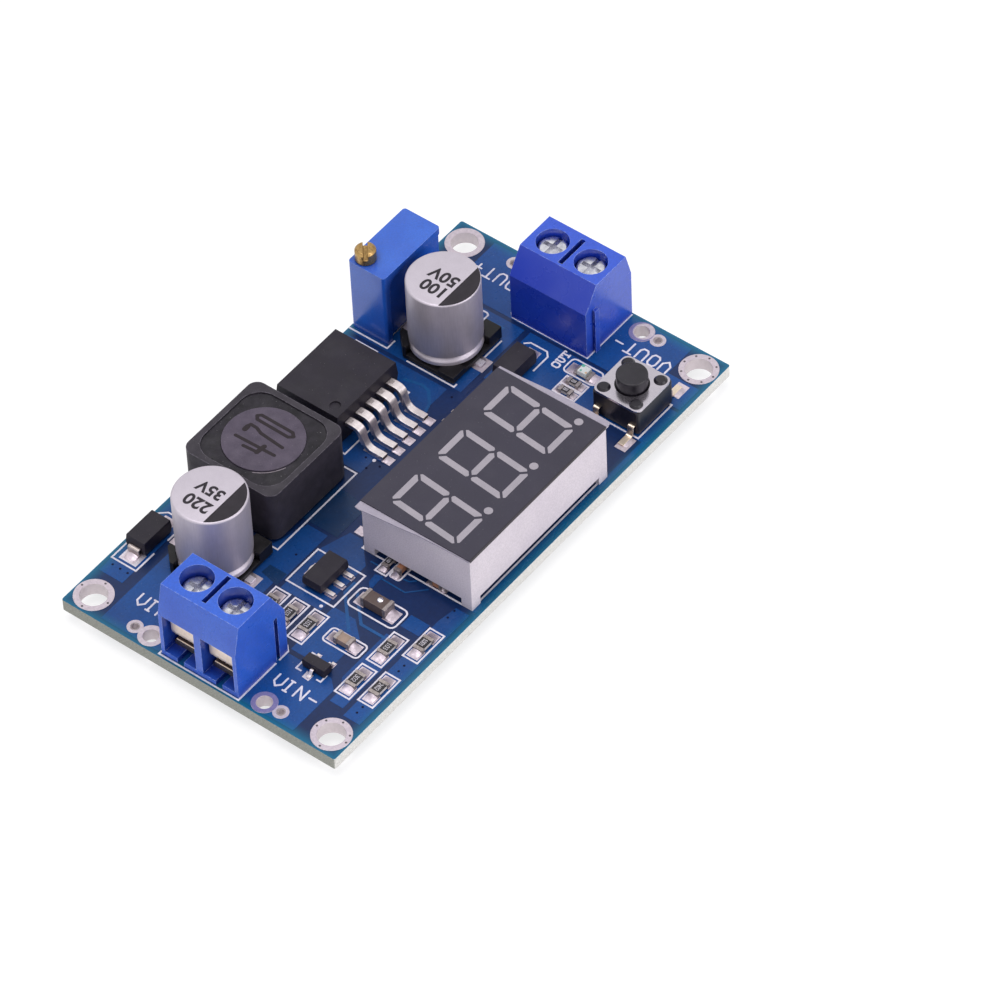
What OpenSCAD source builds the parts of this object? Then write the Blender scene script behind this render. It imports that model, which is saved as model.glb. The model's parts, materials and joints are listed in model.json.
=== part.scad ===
// Boost converter module with a three-digit meter: a board that carries two screw terminals,
// a trimmer, two capacitors, an inductor, a five-lead converter, a display and a push switch.
// Millimetres. The origin is the centre of the mounting holes on the board's underside.

/* [Board] */
// Length of the board, from the input end to the output end
board_l = 66; // [65:0.5:90]
// Width of the board
board_w = 35.6; // [35:0.2:48]
// Thickness of the board
board_t = 1.5; // [0.8:0.1:2.4]
// Corner radius of the board
board_corner_r = 0.25; // [0.2:0.05:1.5]
// Mounting hole centre to the board's end
mount_inset_x = 2.4; // [2.3:0.1:3.5]
// Mounting hole centre to the board's long edge
mount_inset_y = 2.3; // [2.2:0.1:3]
// Diameter of a mounting hole
mount_hole_d = 3; // [2:0.1:3.2]
// Width of the tinned ring around a mounting hole
mount_ring_w = 0.65; // [0.3:0.05:0.65]
// Thickness of the copper pads and rings
copper_t = 0.05; // [0.03:0.01:0.1]
// Wall of the tinned lining in a hole
lining_t = 0.17; // [0.16:0.01:0.25]

/* [Wire holes] */
// Diameter of the large wire hole
wire_hole_d = 1.7; // [1:0.1:1.8]
// Diameter of the small wire hole
wire_hole_small_d = 0.75; // [0.5:0.05:1]
// Width of the ring around the large wire hole
wire_ring_w = 0.55; // [0.3:0.05:0.7]
// Width of the ring around the small wire hole
wire_ring_small_w = 0.5; // [0.3:0.05:0.6]
// Wire hole centres to the board's end
wire_inset = 1.65; // [1.6:0.05:2.4]
// Large wire hole centre to the side of the terminal
wire_side_gap = 2.4; // [2:0.1:3.5]
// Large to small wire hole
wire_hole_step = 2.1; // [2:0.1:3]

/* [Screw terminals] */
// Distance between the two poles
pole_pitch = 5; // [4.6:0.1:6]
// Depth from the wire face to the back
terminal_depth = 7.85; // [7.4:0.05:9]
// Height of the input terminal's housing
terminal_h = 10; // [9.8:0.1:12]
// Height of the output terminal's housing, a little lower
output_terminal_h = 9.4; // [9.2:0.1:12]
// Height of the upright part of the wire face
terminal_front_h = 6.3; // [6.1:0.1:7.5]
// Lean of the wire face above that
terminal_front_slant = 0.85; // [0.3:0.05:1.3]
// Height of the upright part of the back
terminal_back_h = 6.4; // [5:0.1:8]
// Lean of the back above that
terminal_back_slant = 1.95; // [0.5:0.05:2.2]
// Wire face of the input terminal to the board's end
input_terminal_inset = 0.5; // [0:0.05:1]
// Wire face of the output terminal to the board's end
output_terminal_inset = 0.15; // [0:0.05:1]
// Shift of both terminals across the board
terminal_shift_y = -0.1; // [-0.5:0.1:0.5]
// Wall on each side of a wire opening
opening_wall = 0.45; // [0.3:0.05:0.6]
// Top of a wire opening above the board
opening_h = 6.1; // [6:0.1:6.3]
// Floor of a wire opening
terminal_floor = 0.7; // [0.4:0.1:1]
// Depth of a wire opening
opening_depth = 5.7; // [5.5:0.05:6]
// Width of the slot in the floor of an opening
floor_slot_w = 0.85; // [0.4:0.05:1.2]
// Length of the slot in the floor of an opening
floor_slot_l = 2; // [1:0.1:2.4]
// Diameter of a screw well
well_d = 3.6; // [3.6:0.05:3.9]
// Length of the slot between the wells
divider_slot_l = 4.1; // [2:0.1:4.6]
// Width of the slot between the wells
divider_slot_w = 0.55; // [0.3:0.05:0.8]
// Depth of the slot between the wells
divider_slot_h = 1.6; // [0.5:0.1:2.5]
// Neck width of the dovetail that joins terminals side by side
dovetail_w = 0.5; // [0.3:0.05:0.8]
// Depth of the dovetail
dovetail_d = 0.4; // [0.2:0.05:0.4]
// Dovetail centre to the back of the terminal
dovetail_inset = 1.5; // [1:0.05:1.8]
// Screw axis to the wire face
screw_inset = 3.55; // [3.3:0.05:3.8]
// Screw head diameter
screw_head_d = 3.3; // [3:0.05:3.4]
// Screw head height
screw_head_h = 1.6; // [0.8:0.05:1.8]
// Top of the screw head above the board, with the screw part way down
screw_top = 8.6; // [7.9:0.05:8.8]
// Screw thread diameter
screw_d = 2.5; // [2:0.05:2.6]
// Width of the slot in the screw head
screw_slot_w = 0.5; // [0.3:0.05:0.8]
// Depth of the slot in the screw head
screw_slot_h = 0.6; // [0.3:0.05:0.7]
// Length of the cross cut in the screw head
screw_cross_l = 2.3; // [1.5:0.05:2.6]
// Travel of the clamp down onto a wire
clamp_close = 1.2; // [0.8:0.05:1.25]
// Travel of the clamp up from here
clamp_open = 0.6; // [0.2:0.05:0.7]
// Thickness of the contact strip
contact_t = 0.6; // [0.4:0.05:0.65]
// Thickness of the threaded plate
nut_t = 0.8; // [0.6:0.05:0.9]
// Thickness of the clamp leaf
leaf_t = 0.4; // [0.2:0.05:0.45]
// Clamp leaf to the wire face
leaf_inset = 0.9; // [0.6:0.05:1.1]
// Height of the upright part of the clamp leaf
leaf_h = 2.6; // [1.5:0.1:2.7]
// Clear height for a wire under the clamp, with the screw part way down
wire_gap = 1.4; // [1.35:0.05:1.6]
// Hollow under the housing over the copper ring of a pin
ring_relief_h = 0.2; // [0.15:0.05:0.3]
// Diameter of the terminal's solder pin
terminal_pin_d = 1; // [0.8:0.05:1.2]

/* [Through-hole soldering] */
// Reach of the solder joints below the board
tail_h = 1.5; // [1:0.1:2.5]
// Width of the copper ring around a pin hole
pin_ring_w = 0.4; // [0.2:0.05:0.5]
// Solder under the end of a pin
solder_tip_t = 0.2; // [0.1:0.05:0.4]

/* [Trimmer] */
// Length of the trimmer
trimmer_l = 9.5; // [8:0.1:11]
// Width of the trimmer
trimmer_w = 4.8; // [4.4:0.1:5.2]
// Height of the trimmer above the board
trimmer_h = 10; // [8.5:0.1:11]
// Rounding of the trimmer's upright edges
trimmer_edge_r = 0.35; // [0.1:0.05:0.6]
// Trimmer to the board's long edge
trimmer_edge = 0.2; // [0:0.05:1]
// Trimmer to the back of the output terminal
trimmer_gap = 1.4; // [0.5:0.05:3]
// Gap under the trimmer between its feet
trimmer_foot_h = 0.5; // [0.2:0.05:1]
// Width of each trimmer foot
trimmer_foot_w = 0.9; // [0.5:0.05:1.3]
// Depth of the panel set into the trimmer's side
trimmer_panel_d = 0.35; // [0.1:0.05:0.6]
// Rim left at the end and top of that panel
trimmer_panel_rim = 0.9; // [0.5:0.05:1.5]
// Corner radius of that panel
trimmer_panel_r = 1.2; // [0.5:0.1:2]
// Trimmer screw axis to the end of the body
trimmer_screw_end = 1.35; // [1.3:0.05:2]
// Trimmer screw axis to the side of the body
trimmer_screw_side = 1.35; // [1.3:0.05:2]
// Diameter of the trimmer screw head
trimmer_screw_d = 2.3; // [1.8:0.05:2.5]
// Height of the trimmer screw head above the body
trimmer_screw_h = 1.6; // [0.8:0.05:2.2]
// Width of the slot in the trimmer screw
trimmer_slot_w = 0.5; // [0.3:0.05:0.7]
// Depth of the slot in the trimmer screw
trimmer_slot_h = 0.8; // [0.4:0.05:1]
// Turn of the slot from the trimmer's long side
trimmer_slot_turn = 40; // [0:5:180]
// Diameter of the trimmer screw's shaft
trimmer_shaft_d = 1.4; // [1:0.05:1.6]
// Length of the trimmer screw's shaft
trimmer_shaft_l = 6.5; // [4:0.1:7]
// Distance between trimmer pins
trimmer_pitch = 2.54; // [2:0.02:2.8]
// Depth of a trimmer pin in the body
trimmer_pin_in = 0.5; // [0.3:0.05:0.8]
// Diameter of a trimmer pin
trimmer_pin_d = 0.5; // [0.4:0.05:0.7]

/* [Electrolytic capacitors] */
// Diameter of the can
can_d = 8; // [7:0.1:8.2]
// Height of the capacitor above the board
can_h = 10.2; // [8:0.1:12]
// Rounding of the can's top edge
can_top_r = 0.25; // [0.2:0.05:1]
// Depth of the rolled groove above the base
can_groove_d = 0.35; // [0.1:0.05:0.6]
// Height of the rolled groove
can_groove_h = 0.9; // [0.4:0.05:1.4]
// Straight collar of the can under the groove
can_collar_h = 0.7; // [0.3:0.05:1.2]
// Margin of the base around the can
can_base_margin = 0.15; // [0.05:0.05:0.3]
// Thickness of the base plate
can_base_t = 0.5; // [0.5:0.05:1.2]
// Height of the base's corner posts above the plate
can_post_h = 1.15; // [0.4:0.05:1.4]
// Height of the one low corner post above the plate
can_low_post_h = 0.35; // [0.2:0.05:1.4]
// Chamfer of the base's two corners on the plus side
can_chamfer = 1.6; // [0.8:0.1:2]
// Width of a capacitor lead
can_lead_w = 0.9; // [0.6:0.05:1.2]
// Thickness of a capacitor lead
can_lead_t = 0.2; // [0.1:0.05:0.3]
// Reach of a capacitor lead beyond the base
can_lead_out = 0.8; // [0.4:0.05:1]
// Gap between a capacitor's two leads under the base
can_lead_gap = 2; // [1.5:0.1:3]
// Margin of a capacitor's pad around its lead
can_pad_out = 0.5; // [0.2:0.05:0.6]
// Opening between the base's corner posts
can_post_gap = 4.2; // [3:0.1:5]
// Input capacitor to the back of the input terminal
input_can_gap = 0.85; // [0.5:0.05:2]
// Output capacitor to the back of the output terminal
output_can_gap = 3.05; // [0.5:0.05:4]
// Input capacitor to the input diode beside it
input_can_side_gap = 1.85; // [1:0.05:2.5]
// Output capacitor to the trimmer beside it
output_can_side_gap = 0.75; // [0.4:0.05:1.2]

/* [Inductor] */
// Side length of the square shield
coil_l = 12; // [10:0.1:13]
// Height of the inductor above the board
coil_h = 7; // [5:0.1:8]
// Corner radius of the shield
coil_corner_r = 1.2; // [0.5:0.1:2]
// Wall of the shield at the middle of each side
coil_wall = 0.7; // [0.4:0.05:1]
// Gap under the shield
coil_foot = 0.35; // [0.25:0.05:0.8]
// Gap between the drum and the chamber's wall
drum_gap = 0.9; // [0.5:0.05:1.2]
// Thickness of the drum's end discs
drum_disc_t = 1.2; // [0.8:0.1:1.6]
// Diameter of the drum's post
drum_post_d = 4.4; // [3:0.1:5]
// Turns of wire that show on the winding's outline
winding_turns = 8; // [5:1:12]
// Depth of the sealing compound
potting_t = 0.9; // [0.4:0.05:1.1]
// Set-back of the sealing compound from the rim
potting_drop = 0.15; // [0.05:0.05:0.3]
// Width of an inductor terminal
coil_terminal_w = 5; // [3:0.1:6]
// Length of an inductor terminal under the shield
coil_terminal_l = 2.2; // [1.4:0.1:2.8]
// Inductor to the input capacitor
coil_gap = 1.05; // [0.5:0.05:1.5]
// Inductor to the board's long edge
coil_edge = 1.05; // [0.3:0.05:1.5]

/* [Converter] */
// Width of the converter's body
converter_w = 10; // [9:0.1:10.8]
// Length of the converter's body
converter_l = 8.3; // [7.6:0.1:9]
// Height of the converter above the board
converter_h = 4.4; // [4:0.1:4.8]
// Height of the lead plane in the body
converter_lead_z = 2.7; // [2:0.1:3]
// Lean of the body's sides
mould_draft = 0.09; // [0.02:0.01:0.14]
// Number of leads
converter_leads_n = 5; // [3:1:6]
// Distance between leads
converter_pitch = 1.7; // [1.4:0.05:1.75]
// Width of a lead
converter_lead_w = 0.8; // [0.5:0.05:1]
// Width of a lead from the body to its bend
converter_root_w = 1; // [0.8:0.05:1.2]
// Length of the wider stretch of a lead
converter_root_l = 2.1; // [1:0.05:2.3]
// Thickness of a lead
converter_lead_t = 0.5; // [0.35:0.05:0.6]
// Straight stretch of a lead from the body
converter_lead_out = 1.8; // [0.8:0.05:2]
// Slope of a lead down to the board
converter_lead_slope = 0.85; // [0.6:0.05:1.3]
// Foot of a lead on the board
converter_lead_foot = 2.15; // [1.2:0.05:2.3]
// Length of the tab beyond the body
converter_tab_out = 1.3; // [0.8:0.05:1.5]
// Length of the tab under the body
converter_tab_in = 6.2; // [5:0.1:6.8]
// Set-in of the tab's sides from the body's sides
converter_tab_side = 0.5; // [0.2:0.05:1]
// Thickness of the tab
converter_tab_t = 1.25; // [0.8:0.05:1.4]
// Tab to the board's long edge
converter_edge = 0.3; // [0:0.05:0.6]
// Converter to the inductor
converter_gap = 2.3; // [1:0.05:3]
// Converter to the trimmer
converter_side_gap = 4.25; // [3:0.05:5]
// Diameter of the dimple by the first lead
dimple_d = 1.2; // [0.8:0.1:2]
// Dimple centre to the body's sides
dimple_inset = 1.4; // [1.4:0.1:2.5]
// Width of the pad under a converter lead
converter_pad_w = 1.05; // [1:0.05:1.3]
// Depth of the dimple by the first lead
dimple_h = 0.25; // [0.05:0.01:0.3]

/* [Diodes] */
// Length of a diode's body
diode_l = 4.3; // [3.6:0.1:4.8]
// Width of a diode's body
diode_w = 2.6; // [2.2:0.1:2.8]
// Height of a diode above the board
diode_h = 2; // [1.8:0.1:2.6]
// Width of a diode's lead
diode_lead_w = 1.45; // [1:0.05:1.7]
// Thickness of a diode's lead
diode_lead_t = 0.2; // [0.15:0.01:0.25]
// Reach of a diode's lead from the body
diode_lead_out = 0.45; // [0.4:0.05:0.7]
// Foot of a diode's lead under the body
diode_foot = 1.1; // [0.7:0.05:1.3]
// Input diode to the board's long edge
input_diode_edge = 0.8; // [0.4:0.05:1]
// Input diode's shift along the board from the input capacitor
input_diode_shift = -1.85; // [-2.5:0.05:0]
// Output diode to the output capacitor
output_diode_gap = 2.55; // [1.7:0.05:3]
// Output diode's shift along the board from the output capacitor
output_diode_shift = 1.35; // [0:0.05:2]

/* [Small semiconductors] */
// Length of the meter regulator's body
regulator_l = 4.5; // [4:0.1:4.8]
// Width of the meter regulator's body
regulator_w = 2.5; // [2.2:0.1:2.8]
// Height of the meter regulator
regulator_h = 1.5; // [1.2:0.05:1.8]
// Distance between the regulator's leads
regulator_pitch = 1.5; // [1.3:0.05:1.6]
// Width of the regulator's leads
regulator_lead_w = 0.5; // [0.35:0.05:0.6]
// Reach of the regulator's leads
regulator_lead_out = 1.1; // [0.8:0.05:1.4]
// Length of the regulator's leads under the body
regulator_lead_in = 0.6; // [0.4:0.05:0.8]
// Length of the regulator's tab under the body
regulator_tab_in = 1.55; // [1.45:0.05:1.6]
// Width of the regulator's tab
regulator_tab_w = 1.7; // [1.2:0.05:2]
// Reach of the regulator's tab
regulator_tab_out = 0.8; // [0.4:0.05:1]
// Thickness of small leads
small_lead_t = 0.35; // [0.2:0.05:0.4]
// Length of the transistor's body
transistor_l = 2.9; // [2.6:0.1:3.2]
// Width of the transistor's body
transistor_w = 1.3; // [1.1:0.05:1.6]
// Height of the transistor
transistor_h = 1.1; // [0.9:0.05:1.3]
// Distance between the transistor's paired leads
transistor_pitch = 1.9; // [1.6:0.05:2]
// Reach of a fine lead from its body
fine_lead_out = 0.55; // [0.45:0.05:0.65]
// Foot of a fine lead
fine_lead_foot = 0.4; // [0.3:0.05:0.5]
// Width of a fine lead
fine_lead_w = 0.4; // [0.25:0.05:0.45]
// Thickness of a fine lead
fine_lead_t = 0.15; // [0.1:0.01:0.2]
// Length of the meter controller's body
controller_l = 6.5; // [6.2:0.1:7]
// Width of the meter controller's body
controller_w = 4.4; // [4:0.1:5]
// Height of the meter controller
controller_h = 1.05; // [0.9:0.05:1.2]
// Distance between the controller's leads
controller_pitch = 0.65; // [0.5:0.01:0.66]
// Leads on each side of the controller
controller_leads_n = 10; // [6:1:10]
// Width of a controller lead
controller_lead_w = 0.25; // [0.15:0.01:0.3]

/* [Chip parts] */
// Length of a large chip
chip_l = 2; // [1.8:0.05:2.2]
// Width of a large chip
chip_w = 1.25; // [1.1:0.05:1.4]
// Length of a small chip
small_chip_l = 1.6; // [1.4:0.05:1.8]
// Width of a small chip
small_chip_w = 0.8; // [0.6:0.05:0.95]
// Length of the tall ceramic capacitor
tall_chip_l = 3.2; // [2.8:0.05:3.4]
// Width of the tall ceramic capacitor
tall_chip_w = 1.6; // [1.3:0.05:1.8]
// Height of a resistor
resistor_h = 0.5; // [0.35:0.05:0.65]
// Height of the dark coat on a resistor
coat_t = 0.06; // [0.03:0.01:0.1]
// Height of a chip capacitor
ceramic_h = 0.85; // [0.6:0.05:0.9]
// Height of the tall ceramic capacitor
tall_ceramic_h = 1.35; // [1:0.05:1.6]
// Length of a chip's metal end
end_cap_l = 0.4; // [0.25:0.05:0.5]
// Thickness of a chip's metal end
end_cap_t = 0.05; // [0.03:0.01:0.1]
// Length of a solder pad beyond a chip's end
pad_out = 0.95; // [0.4:0.05:1.1]
// Length of a solder pad beyond a small chip's end
small_pad_out = 0.5; // [0.3:0.05:0.7]
// Margin of a solder pad beside the metal on it
pad_side = 0.08; // [0.02:0.01:0.15]
// Height of the lamp's lens above its base
lens_h = 0.5; // [0.3:0.05:0.8]
// Height of the lamp's base
lamp_base_h = 0.3; // [0.2:0.05:0.5]

/* [Push switch] */
// Side length of the switch
switch_l = 6; // [5.4:0.1:6.4]
// Top of the switch's cover above the board
switch_h = 3.55; // [3.2:0.05:4.2]
// Thickness of the cover plate
switch_cover_t = 0.3; // [0.2:0.05:0.4]
// Corner radius of the cover plate
switch_cover_r = 0.7; // [0.3:0.1:1]
// Rivet centres to the side of the switch
rivet_inset = 0.9; // [0.8:0.05:1.1]
// Diameter of a rivet head
rivet_d = 1.5; // [1:0.05:1.6]
// Diameter of a rivet's neck in the cover
rivet_neck_d = 0.75; // [0.5:0.05:0.9]
// Height of a rivet head above the cover
rivet_h = 0.25; // [0.1:0.05:0.4]
// Diameter of the plunger
plunger_d = 3.4; // [3:0.1:3.6]
// Height of the plunger above the cover
plunger_h = 1.55; // [1:0.05:2.5]
// Bevel of the plunger's top edge
plunger_bevel = 0.1; // [0.1:0.05:0.4]
// Width of the plunger's flange under the cover
plunger_flange_w = 0.35; // [0.2:0.05:0.4]
// Thickness of the plunger's flange
plunger_flange_t = 0.4; // [0.3:0.05:0.6]
// Travel of the plunger
plunger_travel = 0.25; // [0.15:0.05:0.3]
// Floor of the switch's base
switch_floor = 1.2; // [0.8:0.05:1.4]
// Thickness of the snap dome
dome_t = 0.1; // [0.06:0.01:0.12]
// Width of a switch lead
switch_lead_w = 0.75; // [0.5:0.05:0.9]
// Thickness of a switch lead
switch_lead_t = 0.2; // [0.15:0.05:0.3]
// Distance between a side's two switch leads
switch_pitch = 4.5; // [4:0.1:4.7]
// Reach of a switch lead from the side
switch_lead_out = 1.6; // [1.2:0.05:1.8]
// Height at which a switch lead leaves the side
switch_lead_z = 1.4; // [1.2:0.05:1.6]
// Foot of a switch lead
switch_lead_foot = 1; // [0.6:0.05:1.1]
// Width of the pad under a switch lead
switch_pad_w = 1.4; // [0.95:0.05:1.4]
// How far the switch sits off the middle of its pads
switch_pad_shift = -0.25; // [-0.3:0.05:0.3]
// Switch to the board's long edge
switch_edge = 1.7; // [1:0.05:2]
// Switch centre to the board's output end
switch_end = 10.65; // [9:0.05:11]

/* [Display] */
// Length of the display
display_l = 22.6; // [21:0.1:24]
// Width of the display
display_w = 14; // [12.5:0.1:14.5]
// Height of the display above the board
display_h = 7.7; // [6.5:0.1:9]
// Wall of the display's shell
display_wall = 0.9; // [0.6:0.05:1.2]
// Thickness of the shell under the face
display_roof = 1.2; // [0.8:0.1:2]
// Thickness of the dark face
face_t = 0.15; // [0.08:0.01:0.3]
// Width of the lip along the output end of the display, where it is widest
display_lip_w = 0.5; // [0.2:0.05:0.8]
// Width of the lip where it is narrowest
display_lip_narrow_w = 0.3; // [0.1:0.05:0.8]
// Thickness of the lip
display_lip_t = 0.25; // [0.15:0.05:0.5]
// Height of the corner feet
display_foot_h = 1.1; // [0.95:0.05:1.1]
// Length of a corner foot along the shell
display_foot_l = 1.4; // [1:0.1:2]
// Set-back of the sealing compound inside the shell
display_recess = 0.6; // [0.45:0.05:1]
// Display to the board's long edge
display_edge = 0.9; // [0.5:0.05:1.2]
// Room between the input end and the display for the small parts
left_room = 23.42; // [22:0.02:25]
// Display centre along the board
display_x = 1.72; // [0:0.05:2.5]
// Distance between digits
digit_pitch = 7.5; // [7:0.05:7.8]
// Height of a digit
digit_h = 9.3; // [8:0.1:10.5]
// Width of a digit
digit_w = 4.85; // [4.2:0.05:5.2]
// Width of a segment
segment_w = 0.74; // [0.5:0.02:0.95]
// Gap between segments
segment_gap = 0.3; // [0.1:0.02:0.4]
// Lean of the digits in degrees
digit_slant = 5.25; // [0:0.25:8]
// Shift of the first digit from an even spread
digit_shift = -0.15; // [-0.5:0.05:0.3]
// Diameter of a decimal point
point_d = 0.95; // [0.6:0.05:1.1]
// Decimal point centre to the side of its digit
point_gap = 0.4; // [0.3:0.05:0.7]
// Decimal point centre above the foot of its digit
point_rise = 0.3; // [0.1:0.05:0.6]
// Distance between display pins
display_pitch = 2.54; // [2.2:0.02:2.8]
// Distance between the two rows of display pins
display_row = 10.16; // [9.4:0.02:11]
// Depth of a display pin in the sealing compound
display_pin_in = 2.2; // [1.5:0.1:2.5]
// Diameter of a display pin
display_pin_d = 0.5; // [0.4:0.05:0.6]

/* [Clearances] */
// Gap between pieces that turn or slide in each other
running_gap = 0.05; // [0.02:0.01:0.08]
// Gap between pieces that are fixed in each other
fixed_gap = 0.01; // [0.005:0.005:0.03]
// Gap around pieces that pass a wall freely
free_gap = 0.15; // [0.1:0.01:0.2]

/* [Hidden] */
$fn = 48;

// Colours
mask_blue = [0.06, 0.16, 0.38];
tin = [0.78, 0.76, 0.74];
solder_grey = [0.72, 0.72, 0.72];
terminal_blue = [0.04, 0.14, 0.72];
trimmer_blue = [0.1, 0.28, 0.75];
brass = [0.72, 0.56, 0.3];
aluminium = [0.8, 0.8, 0.82];
mould_black = [0.08, 0.08, 0.09];
ferrite = [0.2, 0.2, 0.22];
copper = [0.72, 0.42, 0.22];
ceramic_white = [0.85, 0.85, 0.82];
ceramic_tan = [0.62, 0.5, 0.36];
shell_white = [0.84, 0.82, 0.84];
face_grey = [0.28, 0.27, 0.3];
segment_grey = [0.68, 0.66, 0.69];
compound = [0.8, 0.78, 0.72];
lens_white = [0.85, 0.92, 0.85];

// Levels
seat_z = board_t + copper_t;
pin_end_z = -(tail_h - solder_tip_t);
over = 1;

// Board edges
end_x = board_l / 2;
edge_y = board_w / 2;
mount_x = end_x - mount_inset_x;
mount_y = edge_y - mount_inset_y;

// The gaps in the row from one terminal to the other share out the length that the parts leave free
can_base_l = can_d + 2 * can_base_margin;
row_parts_l = 2 * terminal_depth + can_base_l + coil_l + converter_w + trimmer_l;
row_gaps_l = input_terminal_inset + input_can_gap + coil_gap + converter_gap + converter_side_gap
    + trimmer_gap + output_terminal_inset;
spread = (board_l - row_parts_l) / row_gaps_l;

// Screw terminals, worked out from the wire face inwards and from the board upwards
terminal_w = 2 * pole_pitch;
opening_w = pole_pitch - 2 * opening_wall;
input_face_x = -end_x + input_terminal_inset * spread;
output_face_x = end_x - output_terminal_inset * spread;
input_back_x = input_face_x + terminal_depth;
output_back_x = output_face_x - terminal_depth;
input_screw_x = input_face_x + screw_inset;
output_screw_x = output_face_x - screw_inset;
contact_back = opening_depth - free_gap;
contact_front = leaf_inset + leaf_t + free_gap;
contact_w = opening_w - 2 * free_gap;
plate_top = terminal_floor + contact_t;
leaf_z = plate_top + wire_gap;
leaf_end = contact_back - contact_t - free_gap;
nut_top = screw_top - screw_head_h - clamp_close - free_gap;
wire_y = terminal_w / 2 + wire_side_gap;

// Parts in a row along the board, each set off from its neighbour
input_can_x = input_back_x + input_can_gap * spread + can_base_l / 2;
coil_x = input_can_x + can_base_l / 2 + coil_gap * spread + coil_l / 2;
converter_x = coil_x + coil_l / 2 + converter_gap * spread + converter_w / 2;
trimmer_x = converter_x + converter_w / 2 + converter_side_gap * spread + trimmer_l / 2;
output_can_x = output_back_x - output_can_gap * spread - can_base_l / 2;
input_diode_x = input_can_x + input_diode_shift;
output_diode_x = output_can_x + output_diode_shift;

// Parts across the board, set off from its long edges
coil_y = edge_y - coil_edge - coil_l / 2;
trimmer_y = edge_y - trimmer_edge - trimmer_w / 2;
converter_back_y = edge_y - converter_edge - converter_tab_out;
converter_y = converter_back_y - converter_l / 2;
converter_front_y = converter_back_y - converter_l;
input_diode_y = edge_y - input_diode_edge - diode_w / 2;
input_can_y = input_diode_y - diode_w / 2 - input_can_side_gap - can_base_l / 2;
output_can_y = trimmer_y - trimmer_w / 2 - output_can_side_gap - can_base_l / 2;
output_diode_y = output_can_y - can_base_l / 2 - output_diode_gap - diode_w / 2;
switch_x = end_x - switch_end;
switch_y = -edge_y + switch_edge + switch_l / 2;
display_y = -edge_y + display_edge + display_w / 2;
display_left = display_x - display_l / 2;

// Small parts, as offsets from the input end or the output end and from the lower long edge.
// Those between the input end and the display move with the room that is there
left_spread = (display_left + end_x) / left_room;
function left_at(x, y) = [-end_x + x * left_spread, -edge_y + y];
regulator_at = left_at(18.15, 15.7);
transistor_at = left_at(8.2, 8.8);
lamp_at = [end_x - 10, -edge_y + 11.5];
resistors = [left_at(12, 18.1), left_at(12, 15.6), left_at(12, 13.05), left_at(9.2, 4.65),
    left_at(14.35, 4.65), left_at(9.7, 2.05), left_at(16.9, 2.05)];
small_resistors = [
    [end_x - 13.2, -edge_y + 11.5, 90],
    [end_x - 11.8, -edge_y + 11.5, 90],
    [display_left, -edge_y + 11.65, 0]];
ceramics = [
    concat(left_at(12.5, 8.7), 90),
    [display_x + 7.75, display_y + display_w / 2 + 3.5, 0]];
small_ceramics = [
    [display_left, -edge_y + 10.05, 0],
    [display_left + 0.6, -edge_y + 5.8, 90]];
tall_ceramic_at = concat(left_at(18.1, 8.9), 90);
test_pad_at = [display_left + 1.8, -edge_y + 16.7];
test_pad_l = 1.1;

// Through-hole pins as [x, y, diameter]
pole_offsets = [-pole_pitch / 2, pole_pitch / 2];
terminal_pins_at = [for (x = [input_screw_x, output_screw_x], y = pole_offsets)
    [x, terminal_shift_y + y, terminal_pin_d]];
trimmer_pins_at = [for (i = [-1:1]) [trimmer_x + i * trimmer_pitch, trimmer_y, trimmer_pin_d]];
display_columns = 6;
display_pins_at = [for (row = [-1, 1], i = [0:display_columns - 1])
    if (row < 0 || i < display_columns - 1)
        [display_x + (i - (display_columns - 1) / 2) * display_pitch,
            display_y + row * display_row / 2, display_pin_d]];
pins_at = concat(terminal_pins_at, trimmer_pins_at, display_pins_at);
pin_hole_gap = 0.15;

// Wire holes as [x, y, diameter, ring width]
wire_holes_at = [for (x = [-1, 1], y = [-1, 1], small = [0, 1])
    [x * (end_x - wire_inset), terminal_shift_y + y * (wire_y + small * wire_hole_step),
        small ? wire_hole_small_d : wire_hole_d, small ? wire_ring_small_w : wire_ring_w]];

// Points and outlines

// Quadratic bend of a path's corner, as a few points
function bend(a, p, b, r) =
    let (from = p + (a - p) / norm(a - p) * r)
    let (to = p + (b - p) / norm(b - p) * r)
    [for (t = [0:0.25:1]) (1 - t) * (1 - t) * from + 2 * t * (1 - t) * p + t * t * to];
// Path with every inner corner bent
function bent(path, r) =
    let (last = len(path) - 1)
    concat([path[0]], [for (i = [1:last - 1]) each bend(path[i - 1], path[i], path[i + 1], r)], [path[last]]);
function left_of(a, b) = let (d = (b - a) / norm(b - a)) [-d[1], d[0]];
// Offset of point i of a path, so that a strip keeps its thickness round a corner
function corner_offset(path, i) =
    let (n0 = left_of(path[max(i - 1, 0)], path[max(i, 1)]))
    let (n1 = left_of(path[min(i, len(path) - 2)], path[min(i + 1, len(path) - 1)]))
    (n0 + n1) / (1 + n0 * n1);
// Closed outline of a sheet-metal strip of thickness t on the left of a path
function strip(path, t) =
    concat(path, [for (i = [len(path) - 1:-1:0]) path[i] + corner_offset(path, i) * t]);
// Points of an arc about a centre
function arc(c, r, a0, a1, n) =
    [for (i = [0:n]) let (a = a0 + (a1 - a0) * i / n) c + r * [cos(a), sin(a)]];

// Shared shapes

module block(low, high) {
    translate(low) cube(high - low);
}
module rounded(size, r) {
    square([size[0] - 2 * r, size[1]], center = true);
    square([size[0], size[1] - 2 * r], center = true);
    for (x = [-1, 1], y = [-1, 1]) translate([x * (size[0] / 2 - r), y * (size[1] / 2 - r)]) circle(r);
}
// Outline in X and Z, drawn out along Y about the middle
module across_y(width) {
    translate([0, width / 2, 0]) rotate([90, 0, 0]) linear_extrude(width) children();
}
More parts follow.
